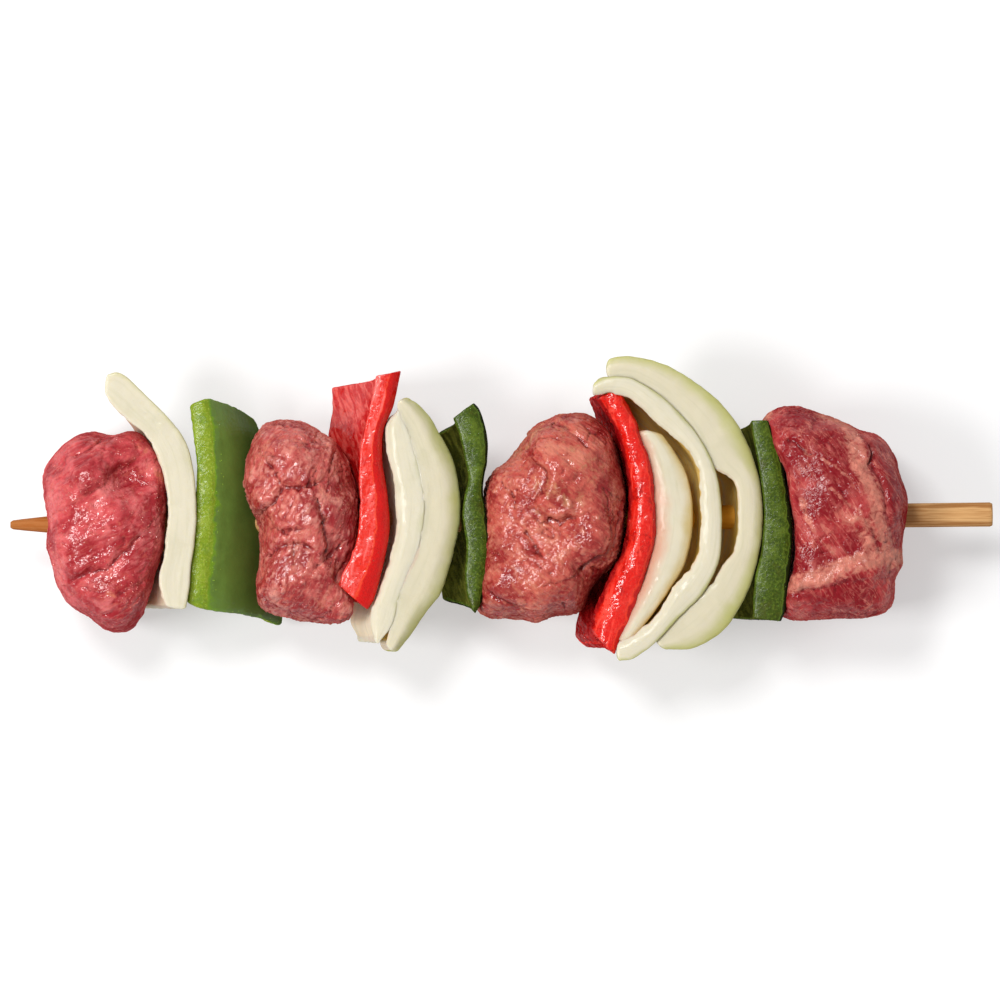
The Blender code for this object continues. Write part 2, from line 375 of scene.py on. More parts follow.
def read_points(obj: bpy.types.Object) -> tuple[np.ndarray, np.ndarray]:
    """The places and normals of an object's vertices.

    Args:
        obj: The object.

    Returns:
        The places and the normals, one in each row.
    """
    count = len(obj.data.vertices)
    places, normals = np.empty(count * 3), np.empty(count * 3)
    obj.data.vertices.foreach_get("co", places)
    obj.data.vertices.foreach_get("normal", normals)
    return places.reshape(-1, 3), normals.reshape(-1, 3)


def write_points(obj: bpy.types.Object, places: np.ndarray) -> None:
    """Move an object's vertices."""
    obj.data.vertices.foreach_set("co", places.astype(np.float32).ravel())
    obj.data.update()


def read_value(obj: bpy.types.Object, name: str) -> np.ndarray:
    """The number that each vertex stores under a name.

    Args:
        obj: The object.
        name: The name.

    Returns:
        The number at each vertex.
    """
    numbers = np.empty(len(obj.data.vertices), np.float32)
    obj.data.attributes[name].data.foreach_get("value", numbers)
    return numbers.astype(float)


def write_values(obj: bpy.types.Object, **values: np.ndarray) -> None:
    """Store a number for each vertex under each name, for the materials to read.

    Args:
        obj: The object.
        **values: The numbers, by name.
    """
    for name, numbers in values.items():
        layer = obj.data.attributes.new(name, "FLOAT", "POINT")
        layer.data.foreach_set("value", numbers.astype(np.float32))


# ---------------------------------------------------------------- node trees


class Nodes:
    """A node tree that is written one call at a time."""

    def __init__(self, tree: bpy.types.NodeTree) -> None:
        """Hold the tree that the calls write to."""
        self.tree = tree

    def add(self, kind: str, inputs: dict | None = None, **settings: object) -> bpy.types.Node:
        """Add a node.

        Args:
            kind: The node's type name.
            inputs: A value or another node's output for each input, by name or index.
            **settings: The node's own properties.

        Returns:
            The node.
        """
        node = self.tree.nodes.new(kind)
        for name, value in settings.items():
            setattr(node, name, value)
        for key, value in (inputs or {}).items():
            if isinstance(value, bpy.types.NodeSocket):
                self.tree.links.new(value, node.inputs[key])
            else:
                node.inputs[key].default_value = value
        return node

    def math(self, operation: str, first: object, second: object = 0.0) -> bpy.types.NodeSocket:
        """The result of a sum on one or two numbers."""
        return self.add("ShaderNodeMath", {0: first, 1: second}, operation=operation).outputs[0]

    def step(
        self, value: object, low: float, high: float, bottom: float = 0.0, top: float = 1.0
    ) -> bpy.types.NodeSocket:
        """A number eased from bottom to top as the value goes from low to high."""
        inputs = {
            "Value": value, "From Min": low, "From Max": high, "To Min": bottom, "To Max": top
        }
        return self.add("ShaderNodeMapRange", inputs, interpolation_type="SMOOTHSTEP").outputs[0]

    def mix(self, share: object, first: object, second: object) -> bpy.types.NodeSocket:
        """A colour between two others."""
        first, second = ((*c, 1.0) if isinstance(c, tuple) else c for c in (first, second))
        return self.add(
            "ShaderNodeMix", {0: share, 6: first, 7: second}, data_type="RGBA"
        ).outputs[2]

    def tint(
        self,
        colour: object,
        other: object,
        value: object,
        low: float,
        high: float,
        most: float = 1.0,
    ) -> bpy.types.NodeSocket:
        """One colour turned into another as the value goes from low to high."""
        return self.mix(self.step(value, low, high, 0.0, most), colour, other)

    def noise(
        self,
        vector: object,
        size: float,
        detail: float = 3.0,
        bend: float = 0.0,
        rough: float = 0.5,
    ) -> bpy.types.NodeSocket:
        """Noise whose swells are about size millimetres across, from 0 to 1."""
        inputs = {"Vector": vector, "Scale": 1 / (size * MM), "Detail": detail, "Roughness": rough}
        return self.add("ShaderNodeTexNoise", {**inputs, "Distortion": bend}).outputs[0]

    def attribute(self, name: str) -> bpy.types.NodeSocket:
        """A number that the mesh stores for each vertex."""
        return self.add("ShaderNodeAttribute", attribute_name=name).outputs["Fac"]

    def place(self) -> bpy.types.NodeSocket:
        """The point's place on the object, in metres."""
        return self.add("ShaderNodeTexCoord").outputs["Object"]

    def drawn_out(self, times: Sequence[float], turn: float = 0.0) -> bpy.types.NodeSocket:
        """The place, for a pattern that is drawn out along X turned by some degrees, Y and Z."""
        inputs = {
            "Vector": self.place(), "Rotation": (0.0, 0.0, math.radians(turn)),
            "Scale": tuple(times),
        }
        return self.add("ShaderNodeMapping", inputs, vector_type="TEXTURE").outputs[0]


@dataclass(frozen=True)
class Finish:
    """A surface that a material is made from. The sub-classes paint it.

    Attributes:
        name: The material's name.
        glow: How much light passes through the flesh, from 0 to 1.
        glow_depth: How far light travels in it for red, green and blue, in millimetres.
        wet: How strong the film of juice on it is, from 0 to 1, where it faces up.
        wet_facing: How far up a surface faces, from 0 to 1, where the film starts and is full.
        film_roughness: How rough the film is.
        ripple: Size of the film's ripples, in millimetres.
        ripple_height: Height of the film's ripples, in millimetres.
        specular: How much the dry surface under the film reflects.
        relief: Height of its finest bumps, in millimetres.
    """

    name: str
    glow: float = 0.15
    glow_depth: Colour = (3.0, 1.2, 0.8)
    wet: float = 0.5
    wet_facing: Point = (0.15, 0.7)
    film_roughness: float = 0.15
    ripple: float = 1.6
    ripple_height: float = 0.45
    specular: float = 0.0
    relief: float = 0.12

    def material(self) -> bpy.types.Material:
        """The finish's material, made the first time that it is asked for.

        Returns:
            The material.
        """
        found = bpy.data.materials.get(self.name)
        if found:
            return found
        made = bpy.data.materials.new(self.name)
        made.use_nodes = True
        nodes = Nodes(made.node_tree)
        shader = made.node_tree.nodes["Principled BSDF"]
        shader.inputs["Subsurface Weight"].default_value = self.glow
        shader.inputs["Subsurface Radius"].default_value = self.glow_depth
        shader.inputs["Subsurface Scale"].default_value = MM
        shader.inputs["Coat Roughness"].default_value = self.film_roughness
        shader.inputs["Coat IOR"].default_value = JUICE_IOR
        shader.inputs["Specular IOR Level"].default_value = self.specular
        colour, roughness, height = self.paint(nodes)
        bump = nodes.add(
            "ShaderNodeBump", {"Height": height, "Distance": self.relief * MM}
        ).outputs[0]
        ripples = nodes.noise(nodes.place(), self.ripple, 2.5, 0.4, 0.5)
        waves = nodes.add(
            "ShaderNodeBump", {"Height": ripples, "Distance": self.ripple_height * MM}
        ).outputs[0]
        upright = nodes.add(
            "ShaderNodeSeparateXYZ", {0: nodes.add("ShaderNodeNewGeometry").outputs["Normal"]}
        )
        film = nodes.step(upright.outputs[2], *self.wet_facing, self.wet * STEEP_FILM, self.wet)
        sockets = {
            "Base Color": colour, "Roughness": roughness, "Normal": bump, "Coat Normal": waves,
            "Coat Weight": film,
        }
        for key, value in sockets.items():
            made.node_tree.links.new(value, shader.inputs[key])
        return made

    def paint(self, nodes: Nodes) -> tuple[bpy.types.NodeSocket, ...]:
        """The sockets of the colour, the roughness and the height."""
        raise NotImplementedError


@dataclass(frozen=True)
class BeefFinish(Finish):
    """Raw muscle: lean in two tones, fat where the mesh says so, and threads of marbling.

    Attributes:
        bright: Lean on top of a swell.
        deep: Darker lean in patches, mottling and threads; at half strength, painted shade in
            creases.
        film: Pale film in patches and threads; on the grain's high points, painted highlight.
        fat: Fat and connective tissue.
        grain: Direction of the fibres in plan, in degrees.
        marbling: How much the threads show, from 0 to 1.
    """

    bright: Colour = (0.6, 0.15, 0.13)
    deep: Colour = (0.3, 0.04, 0.04)
    film: Colour = (0.8, 0.35, 0.3)
    fat: Colour = (0.8, 0.4, 0.3)
    grain: float = 0.0
    marbling: float = 0.4

    def paint(self, nodes: Nodes) -> tuple[bpy.types.NodeSocket, ...]:
        """Lean, film, marbling, fat and painted shade in the creases, in that order.

        Args:
            nodes: The material's node tree.

        Returns:
            The sockets of the colour, the roughness and the height.
        """
        place = nodes.place()
        fibres = nodes.drawn_out((6.0, 1.0, 1.6), self.grain)
        patches = nodes.noise(place, 8.0, 5.0, 0.6, 0.55)
        mottle = nodes.noise(place, 1.8, 5.0, 0.4, 0.65)
        strands = nodes.noise(fibres, 0.8, 4.0, 0.5, 0.6)
        # The dark patches: partly darker muscle, partly painted shade near the edges.
        dark = nodes.math("ADD", nodes.attribute("dark"), nodes.step(patches, 0.62, 0.36, 0.0, 0.8))
        lean = nodes.tint(self.bright, self.deep, dark, 0.1, 0.9)
        lean = nodes.tint(lean, self.film, patches, 0.52, 0.72, 0.6)
        lean = nodes.tint(lean, self.deep, mottle, 0.48, 0.30, 0.65)
        lean = nodes.tint(lean, self.film, mottle, 0.54, 0.74, 0.45)
        lean = nodes.tint(lean, self.film, strands, 0.54, 0.74, 0.4)
        lean = nodes.tint(lean, self.deep, strands, 0.46, 0.28, 0.45)
        thread = nodes.math(
            "ABSOLUTE", nodes.math("SUBTRACT", nodes.noise(fibres, 2.6, 5.0, 1.2), 0.5)
        )
        thread = nodes.math(
            "MULTIPLY", nodes.step(thread, 0.0, 0.035, self.marbling, 0.0),
            nodes.step(patches, 0.3, 0.6)
        )
        colour = nodes.mix(thread, lean, self.fat)
        # Painted highlight: the colour lightened towards the pale film on the grain's high points.
        colour = nodes.tint(colour, self.film, nodes.attribute("raised"), 0.45, 1.1, 0.55)
        ragged = nodes.math(
            "MULTIPLY", nodes.math("SUBTRACT", nodes.noise(place, 2.4, 6.0, 0.8, 0.65), 0.5), 2.6
        )
        fatty = nodes.step(nodes.math("ADD", nodes.attribute("fat"), ragged), 0.25, 1.0)
        fat = nodes.tint(
            shade(self.fat, 0.68), self.fat, nodes.noise(place, 2.2, 5.0, 0.5), 0.35, 0.7
        )
        fat = nodes.tint(fat, self.bright, mottle, 0.56, 0.72, 0.6)
        colour = nodes.mix(fatty, colour, fat)
        # Painted shade: the lean darkened in the creases and hollows.
        hollow = nodes.step(nodes.attribute("hollow"), 0.2, 1.0, 0.0, 0.85)
        colour = nodes.mix(hollow, colour, shade(self.deep, 0.5))
        roughness = nodes.step(nodes.noise(place, 3.0, 4.0), 0.35, 0.7, 0.24, 0.46)
        height = nodes.math(
            "ADD", nodes.noise(place, 1.6, 5.0, 0.4, 0.55), nodes.math("MULTIPLY", strands, 0.4)
        )
        return colour, roughness, height


@dataclass(frozen=True)
class OnionFinish(Finish):
    """Onion flesh: cream on the cut, greener towards the skin side, with veins along the layer.

    Attributes:
        cream: The cut edge.
        vein: Lines that run along the layer.
        rim: Outer edge of the cut.
        rim_from: Where the rim's colour sets in, from -1 at the inner edge to 1 at the outer.
        blush: Inner edge of the cut.
        blush_to: Where the blush has faded out.
        skin: The outer face.
        lining: The inner face, lighter and warmer than the flesh as painted light in the gaps.
    """

    cream: Colour = srgb(203, 196, 175)
    vein: Colour = srgb(184, 179, 150)
    rim: Colour = srgb(172, 170, 108)
    rim_from: float = 0.55
    blush: Colour = srgb(198, 180, 158)
    blush_to: float = -0.9
    skin: Colour = srgb(174, 170, 110)
    lining: Colour = srgb(240, 192, 92)

    def paint(self, nodes: Nodes) -> tuple[bpy.types.NodeSocket, ...]:
        """The cut edge from side to side, then the two faces.

        Args:
            nodes: The material's node tree.

        Returns:
            The sockets of the colour, the roughness and the height.
        """
        across = nodes.attribute("across")
        spread = {
            0: nodes.math("MULTIPLY", across, 3.4 * MM),
            1: nodes.math("MULTIPLY", nodes.attribute("along"), 0.05 * MM),
            2: nodes.math("MULTIPLY", nodes.attribute("down"), 1.0 * MM),
        }
        lines = nodes.noise(
            nodes.add("ShaderNodeCombineXYZ", spread).outputs[0], 1.0, 5.0, 0.2, 0.6
        )
        place = nodes.place()
        clouds = nodes.noise(place, 9.0, 4.0, 0.3)
        wobble = nodes.math("MULTIPLY", nodes.math("SUBTRACT", clouds, 0.5), 0.9)
        edge = nodes.math("ADD", across, wobble)
        cut = nodes.tint(self.cream, self.vein, lines, 0.45, 0.75, 0.5)
        cut = nodes.tint(cut, self.vein, clouds, 0.5, 0.75, 0.35)
        cut = nodes.tint(cut, self.rim, edge, self.rim_from, 1.1, 0.95)
        # Painted shade along the outer edge of the cut, where it rounds over.
        cut = nodes.tint(cut, shade(self.rim, 0.7), across, 0.9, 0.99, 0.5)
        cut = nodes.tint(cut, self.blush, edge, self.blush_to, -1.05, 0.95)
        # The lining is lighter and warmer than the flesh: painted light in the shaded gaps.
        face = nodes.tint(self.lining, self.skin, across, -0.4, 0.4)
        face = nodes.tint(face, self.vein, lines, 0.4, 0.7, 0.5)
        colour = nodes.mix(nodes.attribute("cut"), face, cut)
        roughness = nodes.step(clouds, 0.3, 0.7, 0.3, 0.45)
        height = nodes.math("ADD", lines, nodes.math("MULTIPLY", nodes.noise(place, 0.7, 2.0), 0.5))
        return colour, roughness, height


@dataclass(frozen=True)
class PepperFinish(Finish):
    """Pepper flesh: a glossy skin, a granular wet cut edge and a ridged lining.

    Attributes:
        skin: The outer face.
        flesh: The cut edge.
        juice: Bright grains on the cut edge, partly paler flesh and partly painted highlight.
        juice_amount: How much of the cut edge the bright grains take, from 0 to 1.
        lining: The inner face.
        lining_pale: Ridges on the inner face.
        skin_from: Where the skin starts, from -1 at the cut's inner edge to 1 at its outer.
        lining_to: Where the lining ends, on the same scale.
        seam: A thin line where the skin starts.
        highlight_streaks: How much pale painted highlight streaks the cut edge, from 0 to 1.
    """

    skin: Colour = (0.4, 0.0, 0.0)
    flesh: Colour = (0.6, 0.05, 0.02)
    juice: Colour = (0.8, 0.3, 0.25)
    juice_amount: float = 0.6
    lining: Colour = (0.5, 0.02, 0.02)
    lining_pale: Colour = (0.8, 0.2, 0.18)
    skin_from: float = 0.8
    lining_to: float = -1.3
    seam: Colour = (0.6, 0.1, 0.05)
    highlight_streaks: float = 0.0

    def paint(self, nodes: Nodes) -> tuple[bpy.types.NodeSocket, ...]:
        """The cut edge's grains, then the skin and the lining.

        Args:
            nodes: The material's node tree.

        Returns:
            The sockets of the colour, the roughness and the height.
        """
        place = nodes.place()
        across = nodes.attribute("across")
        grains = nodes.noise(place, 0.7, 4.0, 0.3, 0.7)
        patches = nodes.noise(place, 5.0, 5.0, 0.4, 0.6)
        ridges = nodes.noise(nodes.drawn_out((1.0, 5.0, 5.0), 20.0), 1.0, 4.0, 0.8)
        wobble = nodes.math(
            "ADD", across, nodes.math("MULTIPLY", nodes.math("SUBTRACT", patches, 0.5), 0.7)
        )
        # The bright grains and patches: partly paler flesh, partly painted wet highlight.
        cut = nodes.tint(self.flesh, self.juice, grains, 0.46, 0.68, self.juice_amount)
        cut = nodes.tint(cut, self.skin, grains, 0.46, 0.3, 0.5)
        cut = nodes.tint(cut, self.juice, patches, 0.5, 0.72, self.juice_amount * 0.7)
        cut = nodes.tint(cut, self.lining, patches, 0.46, 0.34, 0.6)
        # Painted highlight: pale streaks along the cut edge.
        streaks = nodes.noise(nodes.drawn_out((1.0, 6.0, 1.0), -8.0), 2.0, 5.0, 0.6, 0.6)
        cut = nodes.tint(cut, shade(self.juice, 1.35), streaks, 0.5, 0.64, self.highlight_streaks)
        lining = nodes.tint(self.lining, self.lining_pale, ridges, 0.4, 0.65)
        skin = nodes.tint(self.skin, shade(self.skin, 0.6), patches, 0.35, 0.7, 0.4)
        # Painted shade: the skin darkens lower down, where it turns from the light.
        skin = nodes.tint(skin, shade(self.skin, 0.4), nodes.attribute("down"), 3.0, 13.0, 0.7)
        cut = nodes.tint(cut, self.seam, wobble, self.skin_from - 0.08, self.skin_from, 0.8)
        cut = nodes.tint(cut, skin, wobble, self.skin_from, self.skin_from + 0.1)
        cut = nodes.tint(cut, lining, wobble, self.lining_to + 0.1, self.lining_to - 0.1)
        face = nodes.tint(lining, skin, across, -0.4, 0.4)
        colour = nodes.mix(nodes.attribute("cut"), face, cut)
        roughness = nodes.mix(nodes.attribute("cut"), (0.2,) * 3, (0.34,) * 3)
        height = nodes.math("MULTIPLY", grains, nodes.step(across, 1.0, 0.5, 0.1, 1.0))
        return colour, roughness, height


@dataclass(frozen=True)
class BambooFinish(Finish):
    """Split bamboo: straight fibres, darker at the pointed end.

    Attributes:
        straw: The light fibres.
        brown: The dark fibres.
        point: The pointed end.
        point_x: Where the point's colour has faded out, along X in millimetres.
        gap_light: Painted light on the stick between the pieces of food, in their shade.
        gap_light_x: Where the painted light starts and ends, along X in millimetres.
        fade: How far each of these colours takes to fade, in millimetres.
    """

    straw: Colour = srgb(206, 162, 110)
    brown: Colour = srgb(158, 108, 62)
    point: Colour = srgb(154, 87, 37)
    point_x: float = -100.0
    gap_light: Colour = srgb(255, 188, 64)
    gap_light_x: Point = (20.0, 84.0)
    fade: float = 10.0

    def paint(self, nodes: Nodes) -> tuple[bpy.types.NodeSocket, ...]:
        """Fibres along X.

        Args:
            nodes: The material's node tree.

        Returns:
            The sockets of the colour, the roughness and the height.
        """
        fine = nodes.noise(nodes.drawn_out((40.0, 1.0, 1.0)), 0.7, 4.0, 0.1, 0.65)
        broad = nodes.noise(nodes.drawn_out((9.0, 1.0, 1.0)), 1.8, 4.0, 0.2)
        colour = nodes.tint(self.brown, self.straw, fine, 0.36, 0.64)
        colour = nodes.tint(colour, self.brown, broad, 0.52, 0.7, 0.55)
        colour = nodes.tint(colour, shade(self.straw, 1.1), broad, 0.46, 0.3, 0.45)
        along = nodes.add("ShaderNodeSeparateXYZ", {0: nodes.place()}).outputs[0]
        start, end = (self.point_x - self.fade) * MM, self.point_x * MM
        colour = nodes.mix(nodes.step(along, start, end, 0.8, 0.0), colour, self.point)
        # Painted light: the stick brightened between the pieces of food, in their shade.
        first, last = self.gap_light_x
        gap_light = nodes.step(along, (last + self.fade) * MM, last * MM, 0.0, 0.85)
        gap_light = nodes.math(
            "MULTIPLY", gap_light, nodes.step(along, first * MM, (first + self.fade) * MM)
        )
        colour = nodes.mix(gap_light, colour, self.gap_light)
        return colour, nodes.step(fine, 0.3, 0.7, 0.45, 0.65), fine


@dataclass(frozen=True)
class JuiceFinish(Finish):
    """Beads of clear juice, tinted by what they lie on.

    Attributes:
        tint: The bead's colour.
    """

    tint: Colour = (0.6, 0.2, 0.2)

    def paint(self, nodes: Nodes) -> tuple[bpy.types.NodeSocket, ...]:
        """A tint that varies a little from bead to bead.

        Args:
            nodes: The material's node tree.

        Returns:
            The sockets of the colour, the roughness and the height.
        """
        spots = nodes.noise(nodes.place(), 2.0, 2.0)
        colour = nodes.tint(shade(self.tint, 0.8), shade(self.tint, 1.15), spots, 0.3, 0.7)
        return colour, nodes.step(spots, 0.3, 0.7, 0.08, 0.16), spots


@dataclass(frozen=True)
class Beads:
    """Small beads of juice scattered over a piece.

    Attributes:
        finish: The beads' surface.
        slot: The record's material slot.
        mask: The name of the number that says where they may lie.
        density: How many lie on a square centimetre where the mask is 1.
        size: The radius of the widest, in millimetres.
        seed: Seed of the scatter.
        smallest: The smallest bead's size as a share of the widest's.
        flattened: A bead's length, breadth and height as shares of a ball's.
        facets: How many faces a bead has round it and from top to bottom.
    """

    finish: Finish
    slot: str
    mask: str
    density: float
    size: float
    seed: int
    smallest: float = 0.35
    flattened: tuple[float, float, float] = (1.0, 0.8, 0.45)
    facets: tuple[int, int] = (8, 5)

    def scatter(self, host: bpy.types.Object) -> bpy.types.Object:
        """Make the beads as a piece of their own.

        Args:
            host: The finished piece that they lie on.

        Returns:
            The beads, as a plain mesh.
        """
        obj = bpy.data.objects.new(host.name + "_juice", host.data.copy())
        bpy.context.scene.collection.objects.link(obj)
        tree = self._tree()
        modifier = obj.modifiers.new("juice", "NODES")
        modifier.node_group = tree
        values = {"Density": self.density * 1e4, "Size": self.size * MM, "Seed": self.seed}
        for item in tree.interface.items_tree:
            if item.item_type == "SOCKET" and item.in_out == "INPUT" and item.name in values:
                modifier[item.identifier] = values[item.name]
        return settle(obj)

    def _tree(self) -> bpy.types.NodeTree:
        """The node tree that strews flattened spheres over the masked surface.

        Returns:
            The tree, with inputs for the surface, the density, the size and the seed.
        """
        name = f"juice_{self.finish.name}_{self.mask}"
        tree = bpy.data.node_groups.new(name, "GeometryNodeTree")
        tree.interface.new_socket("Surface", in_out="INPUT", socket_type="NodeSocketGeometry")
        for label, kind in (("Density", "Float"), ("Size", "Float"), ("Seed", "Int")):
            tree.interface.new_socket(label, in_out="INPUT", socket_type=f"NodeSocket{kind}")
        tree.interface.new_socket("Beads", in_out="OUTPUT", socket_type="NodeSocketGeometry")
        nodes = Nodes(tree)
        given = nodes.add("NodeGroupInput").outputs
        mask = nodes.add("GeometryNodeInputNamedAttribute", {"Name": self.mask}, data_type="FLOAT")
        density = nodes.math("MULTIPLY", given["Density"], mask.outputs["Attribute"])
        points = nodes.add(
            "GeometryNodeDistributePointsOnFaces",
            {"Mesh": given["Surface"], "Density": density, "Seed": given["Seed"]},
        )
        segments, rings = self.facets
        ball = nodes.add(
            "GeometryNodeMeshUVSphere",
            {"Segments": segments, "Rings": rings, "Radius": given["Size"]}
        )
        flat = nodes.add(
            "GeometryNodeTransform", {"Geometry": ball.outputs["Mesh"], "Scale": self.flattened}
        )
        bead = nodes.add("GeometryNodeSetShadeSmooth", {"Geometry": flat.outputs["Geometry"]})
        sizes = {"Min": (self.smallest,) * 3, "Max": (1.0,) * 3}
        size = nodes.add("FunctionNodeRandomValue", sizes, data_type="FLOAT_VECTOR")
        placed = nodes.add(
            "GeometryNodeInstanceOnPoints",
            {
                "Points": points.outputs["Points"],
                "Instance": bead.outputs["Geometry"],
                "Rotation": points.outputs["Rotation"],
                "Scale": size.outputs[0],
            },
        )
        real = nodes.add("GeometryNodeRealizeInstances", {"Geometry": placed.outputs["Instances"]})
        dressed = nodes.add(
            "GeometryNodeSetMaterial",
            {"Geometry": real.outputs["Geometry"], "Material": self.finish.material()}
        )
        nodes.add("NodeGroupOutput", {"Beads": dressed.outputs["Geometry"]})
        return tree


# ---------------------------------------------------------------- beef


@dataclass(frozen=True)
class Fold:
    """A line where the meat folds or tears.

    Attributes:
        path: Its points in plan.
        depth: How deep it cuts.
        step: How much higher the meat stands on the path's left than on its right.
        width: Half the groove's width.
        reach: How far from the path the step fades out.
    """

    path: Sequence[Point]
    depth: float = 1.0
    step: float = 0.0
    width: float = 0.6
    reach: float = 6.0


@dataclass(frozen=True)
class Swell:
    """A round patch that rises, or sinks if its height is below zero.

    Attributes:
        at: Its middle in plan.
        radius: How wide it is.
        height: How much it rises.
    """

    at: Point
    radius: float
    height: float = 0.0


@dataclass(frozen=True)
class Streak:
    """A band or patch of fat or connective tissue.

    Attributes:
        path: Its points in plan.
        width: Half its width.
        strength: How fully it covers the lean, from 0 to 1.
        height: How much it stands out.
    """

    path: Sequence[Point]
    width: float
    strength: float = 1.0
    height: float = 0.0


@dataclass
class BeefPiece:
    """One cube of meat, made over its solid.

    Attributes:
        node: The CAD node that it stands for, and its name.
        slot: The record's material slot.
        finish: What its surface is like.
        outline: Its outline in plan.
        folds: Lines where it folds.
        swells: Round rises and hollows.
        streaks: Fat.
        dark: Patches painted darker: darker muscle, and painted shade near the edges.
        calm: Patches that stay smooth.
        grain: Direction of the fibres in plan, in degrees.
        grain_depth: How deep the grooves between bundles of fibre are.
        crumb: How high the rounded grains of cut meat stand.
        crumb_size: How wide those grains are.
        crease: How deep the small wandering creases are.
        seed: Seed of its noise.
        shoulder: Height above the axis where the sides reach the outline.
        voxel: Size of a face before the last refinement.
        smoothing: How many times the facets are evened out.
        hole: Radius of the solid's hole.
        grip: Radius that the hole is closed to.
        overfill: How far it is pushed past its outline, because smoothing draws it in again.
    """

    node: str
    slot: str
    finish: Finish
    outline: Sequence[Point]
    folds: Sequence[Fold]
    swells: Sequence[Swell]
    streaks: Sequence[Streak]
    dark: Sequence[Swell]
    calm: Sequence[Swell]
    grain: float
    grain_depth: float
    crumb: float
    crumb_size: float
    crease: float
    seed: int
    shoulder: float = 9.0
    voxel: float = 0.8
    smoothing: int = 12
    hole: float = 3.6
    grip: float = 2.8
    overfill: float = 1.045

    def build(self, nodes: dict, stick: StickFrame) -> bpy.types.Object:
        """Make the piece in place of its solid.

        Args:
            nodes: The frame's CAD nodes.
            stick: Where the skewer's axis runs.

        Returns:
            The finished piece.
        """
        obj = self._remeshed(nodes[self.node])
        places, _ = read_points(obj)
        write_points(obj, stick.place(self._fitted(stick.local(places))))
        places, normals = read_points(obj)
        shaped, fat = self._shaped(stick.local(places), normals)
        write_points(obj, self._on_table(stick.place(self._gripped(shaped))))
        places, normals = read_points(obj)
        local = stick.local(places)
        relief = self._relief(local)
        write_points(obj, self._on_table(stick.place(local + normals * relief[:, None])))
        _, normals = read_points(obj)
        # Darker patches: partly darker muscle, partly painted shade near the edges.
        dark = self._patches(local, self.dark)
        wet = ease(normals[:, 2], 0.1, 0.7) * ease(
            Noise(self.seed + 5).layered(local / 5.0, 2), -0.1, 0.3
        )
        # Mask of the painted highlight on the grain's high points.
        raised = np.clip(relief / 0.5 + 0.5, 0, 1)
        # Mask of the painted shade in the creases and hollows.
        write_values(obj, fat=fat, dark=dark, wet=wet, hollow=self._hollow(obj), raised=raised)
        obj.data.materials.clear()
        obj.data.materials.append(self.finish.material())
        return obj

    def _remeshed(self, node: bpy.types.Object) -> bpy.types.Object:
        """An even fine mesh of the solid, with its facets smoothed away.

        Args:
            node: The CAD node.

        Returns:
            A new object with the mesh.
        """
        work = bmesh.new()
        work.from_mesh(node.data)
        bmesh.ops.remove_doubles(work, verts=work.verts, dist=SAME_POINT)
        mesh = bpy.data.meshes.new(self.node + "_meat")
        work.to_mesh(mesh)
        work.free()
        obj = bpy.data.objects.new(self.node + "_meat", mesh)
        bpy.context.scene.collection.objects.link(obj)
        remesh = obj.modifiers.new("even", "REMESH")
        remesh.mode = "VOXEL"
        remesh.voxel_size = self.voxel * MM
        remesh.use_smooth_shade = True
        soften = obj.modifiers.new("soften", "SMOOTH")
        soften.factor = 0.5
        soften.iterations = self.smoothing
        finer = obj.modifiers.new("finer", "SUBSURF")
        finer.levels = finer.render_levels = 1
        return settle(obj)

    def _fitted(self, local: np.ndarray) -> np.ndarray:
        """The piece pushed in and out in plan, so that it fills its outline.

        Args:
            local: The points in millimetres round the axis.

        Returns:
            The moved points.
        """
        outline = smooth_path([*self.outline, self.outline[0]], EDGE_POINTS)
        middle = (outline.min(axis=0) + outline.max(axis=0)) / 2
        bins, core, margin = 120, 0.8, 0.2

        def angle_of(points: np.ndarray) -> np.ndarray:
            """The direction from the middle, in bins."""
            return (
                np.arctan2(points[:, 1] - middle[1], points[:, 0] - middle[0]) / math.tau % 1
            ) * bins

        def reach_of(points: np.ndarray) -> np.ndarray:
            """The greatest distance from the middle in each bin.

            Args:
                points: Points in plan.

            Returns:
                The distance for each bin.
            """
            reach = np.zeros(bins)
            np.maximum.at(
                reach, angle_of(points).astype(int) % bins, np.hypot(*(points[:, :2] - middle).T)
            )
            return reach

        def at_points(reach: np.ndarray) -> np.ndarray:
            """A reach, evened out, in each point's own direction."""
            even = sum(np.roll(reach, shift) for shift in (-1, 0, 1)) / 3
            return np.interp(
                angle_of(local), np.arange(-1, bins + 1) + 0.5, [even[-1], *even, even[0]]
            )

        shoulder = local[np.abs(local[:, 2] - self.shoulder) < 2.0]
        goal, found = at_points(reach_of(outline)), at_points(np.maximum(reach_of(shoulder), 1.0))
        share = np.hypot(*(local[:, :2] - middle).T) / found
        wanted = np.where(
            share < core, share, 1 - margin * np.exp(-(np.maximum(share, core) - core) / margin)
        )
        fitted = local.copy()
        fitted[:, :2] = middle + (local[:, :2] - middle) * (
            self.overfill * wanted * goal / (share * found + 1e-6)
        )[:, None]
        return fitted

